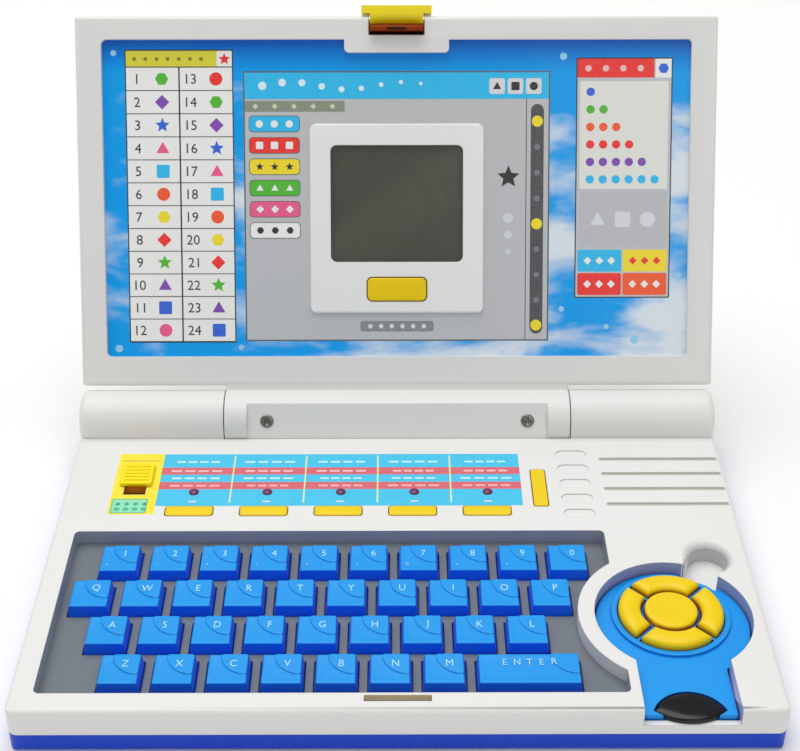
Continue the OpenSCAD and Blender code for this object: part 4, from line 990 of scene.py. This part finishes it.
class TOY_OT_mouse(bpy.types.Operator):
    """Make the mouse: shells, direction buttons, centre button and dark window"""

    bl_idname = "toy_laptop.mouse"
    bl_label = "Mouse"

    def execute(self, context):
        colours, sizes = settings().toy_colours, settings().toy_buttons
        # glossy sky-blue ABS, through-coloured, with a fine grain only at its edges, a painted
        # highlight on them and painted deeper blue shade in its corners
        shell = moulded_plastic("sky blue ABS, mouse", colours.mouse, grain_depth=0.003,
                                edge_mm=0.5, edge_highlight=1.15, coat=0.05, gloss=0.3, deep="#0446C4")
        dress("mouse_top_shell", "mouse_upper_casing", "mouse", "light_blue", shell)
        dress("mouse_bottom_shell", "mouse_lower_casing", "mouse", "blue_casing", lower_abs())
        yellow = button_abs()
        (x0, y0, low), (x1, y1, top) = box_mm("mouse_ok_button")
        x, y, r = (x0 + x1) / 2, (y0 + y1) / 2, (x1 - x0) / 2
        (_, _, ring_low), (_, ring_y1, ring_top) = box_mm("mouse_up_button")
        inner, outer, edge = 11.0, ring_y1 - y - 0.7, sizes.ring_edge
        for k, way in enumerate(("right", "up", "left", "down")):
            mid, shape = k * math.pi / 2, Shape()
            outline = sector(x, y, inner, outer, mid, 1.0, 1.9)
            shape.rise(outline, [(0, ring_low + 1)] + round_edge(edge, ring_top - 0.25, 5) +
                       [(edge + 0.8, ring_top - 0.08), (edge + 1.6, ring_top)])
            shape.rise(sector(x, y, inner - 0.4, outer + 0.2, mid, 0.4, 0.4),
                       [(0, ring_low), (0, ring_low + 1.4)])
            finish_piece(shape.make(f"mouse_{way}_pad", [yellow], 50), f"mouse_{way}",
                         "yellow_button", f"mouse_{way}_button")
        shape = Shape()
        shape.rise(disc(x, y, r, 48), [(0, low)] + round_edge(1.1, top - 0.1, 5) +
                   [(2.0, top), (3.2, top - 0.02), (5, top - 0.12), (7.5, top - 0.2)])
        finish_piece(shape.make("mouse_centre_pad", [yellow], 50), "mouse_ok", "yellow_button",
                     "mouse_ok_button")
        self.window()
        return {"FINISHED"}

    def window(self):
        """Dark lens at the mouse's nose, domed towards its middle."""
        (x0, y0, z0), (x1, y1, z1) = box_mm("mouse_window")
        x, r, nose = (x0 + x1) / 2, y1 - y0, 18.3
        # the rear arc is about the nose's tip, the front one about a point nearer the middle
        rear_start, rear_sweep, front_start, front_sweep = 21, 138, -131.9, 83.8
        rear = [math.radians(rear_start + rear_sweep * i / 20) for i in range(21)]
        front = [math.radians(front_start + front_sweep * i / 12) for i in range(1, 12)]
        outline = [(x + r * math.cos(a), y0 + r * math.sin(a)) for a in rear]
        outline += [(x + nose * math.cos(a), y0 + nose + nose * math.sin(a)) for a in front]
        cx, cy = x, y0 + 6.2
        # moulded smoke styrene, nearly black, with a high polish and a painted highlight on its
        # edges
        smoke = moulded_plastic("smoke styrene, polished", linear("#08090F"), roughness=0.16,
                                grain_mm=2.0, grain_depth=0.002, mottle=0.1, edge_highlight=1.6,
                                coat=0.1, gloss=0.3)
        shape = Shape()
        shape.loft([[(cx + (a - cx) * scale, cy + (b - cy) * scale, z) for a, b in outline]
                    for scale, z in ((1, z0), (1, z0 + 0.9), (0.985, z0 + 1.25), (0.94, z0 + 1.6),
                                     (0.85, z1 - 0.2), (0.65, z1 - 0.04), (0.35, z1))])
        finish_piece(shape.make("mouse_lens", [smoke], 50), "mouse", "dark_window", "mouse_window")


# printer's inks
RED, ORANGE, YELLOW, GREEN = "#FA1C10", "#FF5610", "#FFE600", "#4CC01C"
CYAN, BLUE, PINK, VIOLET = "#00C2F8", "#1C62E0", "#F85890", "#8440B8"
WHITE, INK, STONE, SLATE = "#FAFAF6", "#15171A", "#C6C7C9", "#5E6166"


class Sheet:
    """Printed patches stacked on a face, each layer a hair above the last."""

    step, sunk = 0.025, 0.02  # way between layers, and how far a patch reaches into the face

    def __init__(self, place, face):
        self.shape, self.face = Shape(place), face

    def patch(self, layer, outline, code):
        """Patch of one colour in any outline."""
        top = self.face + self.sunk + self.step * layer
        self.shape.print_on(outline, self.face - self.sunk, top, code)

    def block(self, layer, x0, x1, y0, y1, code, r):
        """Rectangle with round corners."""
        self.patch(layer, round_rect(x0, x1, y0, y1, r, 3), code)

    def around(self, layer, outer, hole, code):
        """Field of one colour with a rectangular hole; both boxes are x0, x1, y0, y1."""
        x0, x1, y0, y1 = outer
        a, b, c, d = hole
        for part in ((x0, a, y0, y1), (b, x1, y0, y1), (a, b, y0, c), (a, b, d, y1)):
            self.block(layer, *part, code, 0.02)

    def word(self, layer, words, x, y, height, code):
        """Printed figures, centred."""
        verts, faces = lettering(words, height, 0.03)
        low = self.face - 0.01 + self.step * layer
        self.shape.add([(x + a, y + b, low + c) for a, b, c in verts], faces, 0,
                       tuple(linear(code)))

    def token(self, layer, kind, x, y, r, code):
        """Small counting shape."""
        outline = {
            "disc": disc(x, y, r, 24),
            "square": round_rect(x - r, x + r, y - r, y + r, r * 0.2, 2),
            "star": star(x, y, r * 1.15),
            "triangle": disc(x, y - r * 0.15, r * 1.15, 3, math.pi / 2),
            "diamond": disc(x, y, r * 1.1, 4),
            "hexagon": disc(x, y, r, 6),
        }[kind]
        self.patch(layer, outline, code)


class TOY_OT_picture(bpy.types.Operator):
    """Print the picture round the screen: a blue ground with three cards of counting shapes"""

    bl_idname = "toy_laptop.picture"
    bl_label = "Picture"

    def execute(self, context):
        colours = settings().toy_colours
        ground = sky_card("printed card, misty blue", colours.sky_top, colours.sky,
                          linear("#EAF2F8"))
        dress("picture_panel", "picture_ground", "lid", "picture", ground)
        sheet = Sheet(on_lid, PANEL_N)
        self.number_card(sheet)
        self.middle_card(sheet)
        self.counting_card(sheet)
        bubbles = ((-117, 29.5, 1.6), (-65.6, 30, 1.1), (69, 150.5, 1.5), (69, 46, 1.2),
                   (118, 120, 1.3), (118.2, 60, 1.0), (-117, 152, 1.2), (100, 33, 1.8),
                   (88, 38.5, 1.1))
        for x, u, r in bubbles:
            sheet.token(0, "disc", x, u, r, "#9AD6F8")
        film = printed_film("screen-printed film")
        finish_piece(sheet.shape.make("picture_print", [film], 20), "lid", "picture")
        return {"FINISHED"}

    def number_card(self, sheet):
        """Tall white card at the left: numbers to 24 with coloured shapes, and a yellow strip."""
        x0, x1, u0, u1, rim = -112.4, -67.6, 32.0, 153.4, 0.5
        sheet.block(0, x0, x1, u0, u1, INK, 0.6)
        sheet.block(1, x0 + rim, x1 - rim, u0 + rim, u1 - rim, WHITE, 0.4)
        sheet.block(2, x0 + rim, x1 - 6.8, u1 - 7.0, u1 - rim, "#E4DC2A", 0.3)
        sheet.token(2, "star", x1 - 3.6, u1 - 3.9, 2.2, RED)
        for i in range(7):
            sheet.token(3, "disc", x0 + 4 + i * 4.6, u1 - 3.8, 0.8, "#8F7D10")
        kinds = ("disc", "square", "triangle", "star", "diamond", "hexagon")
        codes = (RED, BLUE, ORANGE, GREEN, PINK, YELLOW, VIOLET, CYAN)
        rows, foot, middle = 12, u0 + rim, (x0 + x1) / 2
        tall = (u1 - 7.2 - foot) / rows
        sheet.block(3, x0 + rim, x1 - rim, u1 - 7.3, u1 - 6.9, INK, 0.05)
        sheet.block(3, middle - 0.3, middle + 0.3, foot, foot + rows * tall, INK, 0.05)
        for r in range(rows):
            u = foot + (rows - r - 0.5) * tall
            sheet.block(3, x0 + rim, x1 - rim, u - tall / 2 - 0.16, u - tall / 2 + 0.16, INK, 0.05)
            for side, x in enumerate((x0, middle)):
                n = r + 1 + rows * side
                kind = kinds[(n * 5 + side) % len(kinds)]
                code = codes[(n * 3 + side) % len(codes)]
                sheet.word(3, str(n), x + 4.9, u, 4.2, INK)
                sheet.token(3, kind, x + 15.2, u, 2.7, code)

    def middle_card(self, sheet):
        """Grey card behind the screen: a cyan strip with bubbles, a row of tiles and a bead bar."""
        x0, x1, u0, u1, rim = -63.6, 63.6, 32.6, 144.6, 0.6
        sheet.around(0, (x0, x1, u0, u1), (x0 + rim, x1 - rim, u0 + rim, u1 - rim), SLATE)
        sheet.around(0, (x0 + rim, x1 - rim, u0 + rim, u1 - rim), (-35.4, 35.4, 45.3, 122.3), STONE)
        sheet.block(2, x0 + rim, x1 - rim, u1 - 11.4, u1 - rim, CYAN, 0.5)
        for i in range(9):
            sheet.token(3, "disc", x0 + 8 + i * 8.2, u1 - 6 + 1.5 * math.sin(i * 1.1),
                        1.7 - 0.12 * i, "#E9FAFF")
        for i, kind in enumerate(("triangle", "square", "disc")):
            x = x1 - 22 + i * 7.6
            sheet.block(3, x - 3.2, x + 3.2, u1 - 9.4, u1 - 3.0, "#E4E5E4", 0.8)
            sheet.token(4, kind, x, u1 - 6.2, 1.7, INK)
        sheet.block(2, x0 + rim, x0 + 42, u1 - 16.6, u1 - 12.2, "#8C9482", 0.4)
        for i in range(5):
            sheet.token(3, "diamond", x0 + 5 + i * 8, u1 - 14.4, 1.1, "#D9DDB8")
        tiles = ((CYAN, "disc"), (RED, "square"), (YELLOW, "star"), (GREEN, "triangle"),
                 (PINK, "diamond"), (WHITE, "hexagon"))
        for i, (code, kind) in enumerate(tiles):
            u, ink = u1 - 21.6 - i * 8.8, INK if code in (YELLOW, WHITE) else WHITE
            sheet.block(2, x0 + 2.2, x0 + 23.4, u - 3.4, u + 3.4, SLATE, 1.6)
            sheet.block(3, x0 + 2.5, x0 + 23.1, u - 3.1, u + 3.1, code, 1.4)
            for k in range(3):
                sheet.token(4, kind, x0 + 6.6 + k * 6.2, u, 1.5, ink)
        sheet.block(1, x1 - 9.9, x1 - 9.6, u0 + rim, u1 - 11.4, INK, 0.05)
        sheet.block(2, x1 - 7.9, x1 - 2.5, u0 + 3, u1 - 13.5, "#4A4A4E", 2.6)
        for i in range(9):
            high = YELLOW if i % 4 == 0 else "#7C7D82"
            sheet.token(3, "disc", x1 - 5.2, u0 + 6.6 + i * 10.6, 2.3 if i % 4 == 0 else 1.2, high)
        sheet.token(2, "star", 46.5, 101, 4.2, INK)
        for i in range(3):
            sheet.token(2, "disc", 46.5, 70 + i * 7, 1.2 + 0.5 * i, "#DDE0E3")
        sheet.block(2, -15.4, 15.4, 36.6, 41.0, "#8B8F93", 1.0)
        for i in range(6):
            sheet.token(3, "disc", -11.2 + i * 4.5, 38.8, 0.95, "#E6E8EA")

    def counting_card(self, sheet):
        """Card at the right: rows of dots from one to six, and four coloured tiles."""
        x0, x1, u0, u1, rim = 74.4, 114.3, 50.6, 150.0, 0.5
        sheet.block(0, x0, x1, u0, u1, INK, 0.6)
        sheet.block(1, x0 + rim, x1 - rim, u0 + rim, u1 - rim, "#C9CCD0", 0.4)
        sheet.block(2, x0 + rim, x1 - 7.6, u1 - 8.2, u1 - rim, RED, 0.3)
        sheet.block(2, x1 - 7.1, x1 - rim, u1 - 8.2, u1 - rim, WHITE, 0.3)
        sheet.token(3, "hexagon", x1 - 3.8, u1 - 4.4, 2.2, BLUE)
        for i in range(4):
            sheet.token(3, "disc", x0 + 5 + i * 7.2, u1 - 4.4, 1.3, "#F9C9C5")
        sheet.block(2, x0 + 1.6, x1 - 1.6, u1 - 54, u1 - 9.6, "#EDEDE6", 0.6)
        for r, code in enumerate((BLUE, GREEN, ORANGE, RED, VIOLET, CYAN)):
            for c in range(r + 1):
                sheet.token(3, "disc", x0 + 6 + c * 5.4, u1 - 14 - r * 7.2, 1.75, code)
        sheet.block(2, x0 + 1.6, x1 - 1.6, u1 - 78, u1 - 55.2, "#C4C5C8", 0.6)
        for i, kind in enumerate(("triangle", "square", "disc")):
            sheet.token(3, kind, x0 + 9.5 + i * 10.4, u1 - 66.6, 3.2, "#E2E4E6")
        for i, code in enumerate((RED, ORANGE, CYAN, YELLOW)):
            left, low = x0 + 1.2 + (i % 2) * 19, u0 + 1.2 + (i // 2) * 9.8
            sheet.block(2, left, left + 18.4, low, low + 9.2, code, 0.8)
            ink = WHITE if code != YELLOW else RED
            for k in range(3):
                sheet.token(3, "diamond", left + 4.2 + k * 5, low + 4.6, 1.5, ink)


class TOY_OT_deck_label(bpy.types.Operator):
    """Lay the printed label behind the function buttons, and the lamps that stand through it"""

    bl_idname = "toy_laptop.deck_label"
    bl_label = "Deck label and lamps"

    def execute(self, context):
        sheet = Sheet(on_base, DECK_Z)
        x0, x1, sky, rose = -95.3, 49.5, "#2CC6EE", "#DE5C68"
        lines = (20.6, 31.2, 35.9, 40.8, 45.5, 54.5)
        rows = ((49.2, "#C4F4FB"), (43.1, "#F9C3C8"), (38.3, "#C4F4FB"), (33.5, "#F9B3BC"))
        for i, code in enumerate((sky, rose, sky, rose, sky)):
            sheet.block(0, x0, x1, lines[i], lines[i + 1], code, 0.05)
        for i in range(FUNCTION_COUNT):
            centre = FUNCTION_X + FUNCTION_STEP * i
            if i < FUNCTION_COUNT - 1:
                sheet.block(1, centre + 14.3, centre + 14.9, 22.5, 53.5, "#E9EEB0", 0.3)
            sheet.block(2, centre - 1.6, centre + 1.6, 22.9, 23.7, "#F3DCE6", 0.3)
            for r, (y, code) in enumerate(rows):
                wide = (9.0, 10.5, 9.8, 10.2, 8.5)[(r + i) % 5]
                for k in range(4):
                    dash = centre - wide + k * wide * 0.52
                    sheet.block(2, dash, dash + wide * 0.4, y - 0.55, y + 0.55, code, 0.3)
        self.slider_part(sheet)
        film = printed_film("glossy deck label")
        finish_piece(sheet.shape.make("deck_label", [film], 20), "base", "picture")
        # tinted styrene lens: dark plum while unlit, with a bright point from the room and a
        # painted highlight on its edges
        lens = moulded_plastic("plum styrene lens", settings().toy_colours.lamp, roughness=0.2,
                               grain_mm=1.0, grain_depth=0.002, mottle=0.1, edge_mm=0.2,
                               edge_highlight=1.4, coat=0.2, gloss=0.4)
        dome, r, high, lamp_y = Shape(), 2.0, 0.9, 29.3
        dome.rise(disc(0, 0, r), [(0.9, -1.2), (0.9, -0.02)] +
                  [(r - r * math.cos(a), high * math.sin(a))
                   for a in (math.radians(15 * i) for i in range(6))])
        places = [((FUNCTION_X + FUNCTION_STEP * i, lamp_y, DECK_Z + 0.1), (0, 0, 1))
                  for i in range(FUNCTION_COUNT)]
        lamps = repeated("function_lamps", dome.make("dome", [lens]), lens, places)
        finish_piece(lamps, "base", "display")
        return {"FINISHED"}

    def slider_part(self, sheet):
        """Yellow field round the slider's slot, a line at its back and a green box before it."""
        x0, x1, y0, y1, slot = -113.5, -95.3, 15.4, 54.8, (-109.1, -100.1, 27.8, 43.3)
        sheet.around(0, (x0, x1, y0, y1), slot, "#FFEA10")
        sheet.block(1, x0 + 1.5, x1 - 2, 49.6, 50.5, "#D8C410", 0.2)
        sheet.block(1, x0 + 0.8, x1 - 3.2, y0 + 0.6, 25.2, "#7FC06A", 0.4)
        sheet.block(2, x0 + 1.4, x1 - 3.8, y0 + 1.2, 24.6, "#8FE8BE", 0.3)
        for i in range(4):
            x = x0 + 3.4 + i * 3.5
            sheet.block(3, x - 1.1, x + 1.1, y0 + 2.2, y0 + 4.2, "#43C08C", 0.3)
            sheet.token(3, "diamond", x, y0 + 6.4, 1.1, "#3AA778")


class TOY_OT_display(bpy.types.Operator):
    """Finish the display and its window"""

    bl_idname = "toy_laptop.display"
    bl_label = "Display"

    def execute(self, context):
        cell = display_glass("liquid crystal cell", settings().toy_colours.display)
        pane = clear_pane("clear styrene")
        dress("lcd_panel", "display_cell", "lid", "display", cell)
        dress("lcd_window", "display_pane", "lid", "clear_window", pane)
        return {"FINISHED"}


class TOY_OT_screws(bpy.types.Operator):
    """Set the cross-head screws of the base, the lid and the hinge cover"""

    bl_idname = "toy_laptop.screws"
    bl_label = "Screws"

    def execute(self, context):
        steel = screw_steel("zinc-plated steel", linear("#8E8984"))
        front_y, rear_y, head_z = -84.8, 58.6, 1.0
        base = [((x, front_y, head_z), (0, 0, -1)) for x in (-118.5, -40, 40, 122)]
        base += [((x, rear_y, head_z), (0, 0, -1)) for x in (-122, -93.25, 77.25, 124)]
        outward = tuple(Vector(on_lid(0, 0, 1)) - Vector(on_lid(0, 0, 0)))
        inward = tuple(-c for c in outward)
        lid_places = ((126.2, 20.2), (126.2, 160.5), (40, 161.6))
        lid_n, hinge_x, hinge_n = -13.9, 54.3, 10.1
        lid = [(on_lid(s * x, u, lid_n), inward) for s in (-1, 1) for x, u in lid_places]
        hinge = [(on_lid(s * hinge_x, 0, hinge_n), outward) for s in (-1, 1)]
        sizes = settings().toy_screws
        for name, places, body, node, head, thick in (
                ("base_screw_set", base, "base", ["base_screws"], sizes.head, 1.4),
                ("lid_screw_set", lid, "lid", ["lid_screws"], sizes.head, 1.4),
                ("hinge_screw_pair", hinge, "lid", [], sizes.hinge_head, 0.6)):
            finish_piece(repeated(name, self.screw(steel, head, thick), steel, places), body,
                         "screw", *node)
        return {"FINISHED"}

    def screw(self, steel, head, thick):
        """Pan-head screw whose face is at z = 0, with a tapered cross recess."""
        r, depth, arm, half = head / 2, settings().toy_screws.recess, head * 0.3, head * 0.075
        shank_r, tip_z = 1.1, -11.4

        def circle(q):
            return disc(0, 0, q, 48)

        def cross(k):
            out = []
            for x, y in circle(1):
                a, b = max(abs(x), 1e-6), max(abs(y), 1e-6)
                q = max(min(arm * k / a, half * k / b), min(half * k / a, arm * k / b))
                out.append((q * x, q * y))
            return out

        rings = [(circle(shank_r), tip_z), (circle(shank_r), -thick), (circle(r), -thick),
                 (circle(r), -0.45), (circle(r - 0.15), -0.22), (circle(r - 0.5), -0.06),
                 (circle(r - 0.9), 0), (cross(1.15), 0), (cross(1.0), -0.1), (cross(0.6), -depth)]
        shape = Shape()
        shape.loft([[(x, y, z) for x, y in ring] for ring, z in rings])
        return shape.make("screw", [steel])


class TOY_OT_inner_parts(bpy.types.Operator):
    """Finish the parts inside the base"""

    bl_idname = "toy_laptop.inner_parts"
    bl_label = "Inner parts"

    def execute(self, context):
        # milky silicone, matt and a little uneven
        silicone = moulded_plastic("silicone key sheet", linear("#D9D9D2"), roughness=0.6,
                                   grain_mm=0.8, grain_depth=0.02, mottle=0.08)
        finishes = {
            "key_dome_sheet": silicone,
            "circuit_boards": circuit_laminate("lacquered laminate", linear("#1F6B3A")),
            "speaker": speaker_paper("pressed paper cone", linear("#3A3C40")),
            "battery_cells": cell_wrap("shrink-wrapped cell", linear("#2F7D4F"), linear("#B9743A")),
        }
        for node, finish in finishes.items():
            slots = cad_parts[node].data.materials
            if not slots:
                slots.append(finish)
            for i in range(len(slots)):
                slots[i] = finish
        return {"FINISHED"}


class TOY_OT_stage(bpy.types.Operator):
    """Set the white floor, the soft lamps and the camera"""

    bl_idname = "toy_laptop.stage"
    bl_label = "Stage"

    def execute(self, context):
        scene, stage = context.scene, settings().toy_stage
        # white paper: a flat, matt floor whose fibre is drawn 4 mm long, as a finer one is lost
        material, tree, shader, where = new_material("white paper")
        fibres = put(tree, "ShaderNodeTexNoise",
                     {"Vector": where, "Scale": 1 / 0.004, "Detail": 3.0})
        tone = put(tree, "ShaderNodeMix", {"Factor": fibres.outputs[0],
                                           MIX_A: rgba(stage.floor, 0.985),
                                           MIX_B: rgba(stage.floor, 1.01)}, data_type="RGBA")
        feed(tree, shader, {"Base Color": tone.outputs[MIXED], "Roughness": 0.95,
                            "Specular IOR Level": 0.1})
        # places and sizes of the stage are in metres
        mesh, half = bpy.data.meshes.new("paper_floor"), 6
        mesh.from_pydata([(-half, -half, 0), (half, -half, 0), (half, half, 0), (-half, half, 0)],
                         [], [(0, 1, 2, 3)])
        mesh.materials.append(material)
        floor = bpy.data.objects.new("paper_floor", mesh)
        scene.collection.objects.link(floor)
        lamps = (("overhead_softbox", (-0.35, 0.55, 2.6), (0, 0, 0.05), 2.6, stage.key_power),
                 ("front_softbox", (0.9, -2.2, 1.6), (0, 0, 0.08), 1.2, stage.fill_power))
        for name, place, aim, size, power in lamps:
            lamp = bpy.data.lights.new(name, "AREA")
            lamp.shape, lamp.size, lamp.energy = "SQUARE", size, power
            holder = bpy.data.objects.new(name, lamp)
            holder.location = place
            beam = Vector(aim) - Vector(place)
            holder.rotation_euler = beam.to_track_quat("-Z", "Y").to_euler()
            scene.collection.objects.link(holder)
        world = bpy.data.worlds.new("soft room")
        world.use_nodes = True
        ground = world.node_tree.nodes["Background"]
        ground.inputs["Color"].default_value = (1, 1, 1, 1)
        ground.inputs["Strength"].default_value = stage.room
        scene.world = world
        scene.view_settings.view_transform = "Standard"
        lens = bpy.data.cameras.new("camera")
        lens.lens, lens.sensor_width, lens.clip_start, lens.clip_end = stage.focal, 36.0, 0.01, 20.0
        camera = bpy.data.objects.new("camera", lens)
        down, aside = 33.8, -0.17  # degrees below the level, and off the straight look
        camera.location = (-0.0004, -0.4615, 0.4033)
        camera.rotation_euler = (math.radians(90 - down), 0, math.radians(aside))
        scene.collection.objects.link(camera)
        scene.camera = camera
        return {"FINISHED"}


class TOY_PT_panel(bpy.types.Panel):
    """Sizes, colours and steps of the toy laptop"""

    bl_idname = "TOY_PT_panel"
    bl_label = "Toy laptop"
    bl_space_type = "VIEW_3D"
    bl_region_type = "UI"
    bl_category = "Toy laptop"

    def draw(self, context):
        for key, _, title in GROUPS:
            group, box = getattr(context.scene, key), self.layout.box()
            box.label(text=title)
            for name in group.__annotations__:
                box.prop(group, name)
        column = self.layout.column(align=True)
        for step in STEPS:
            column.operator(step.bl_idname)


GROUPS = (("toy_colours", ToyColours, "Colours"), ("toy_keys", KeySizes, "Keys"),
          ("toy_buttons", ButtonSizes, "Buttons"), ("toy_screws", ScrewSizes, "Screws"),
          ("toy_stage", StageSettings, "Stage"))
STEPS = (TOY_OT_stage, TOY_OT_casings, TOY_OT_keycaps, TOY_OT_controls, TOY_OT_mouse,
         TOY_OT_picture, TOY_OT_deck_label, TOY_OT_display, TOY_OT_screws, TOY_OT_inner_parts)


def register():
    """Adds the settings, the operators and the panel."""
    for key, group, _ in GROUPS:
        bpy.utils.register_class(group)
        setattr(bpy.types.Scene, key, PointerProperty(type=group))
    for step in (*STEPS, TOY_PT_panel):
        bpy.utils.register_class(step)


def unregister():
    """Takes them out again."""
    for step in reversed((*STEPS, TOY_PT_panel)):
        bpy.utils.unregister_class(step)
    for key, group, _ in reversed(GROUPS):
        delattr(bpy.types.Scene, key)
        bpy.utils.unregister_class(group)


def main():
    """Runs every step in order."""
    register()
    for step in STEPS:
        area, name = step.bl_idname.split(".")
        getattr(getattr(bpy.ops, area), name)()
    bpy.context.view_layer.update()


if __name__ == "__main__":
    main()
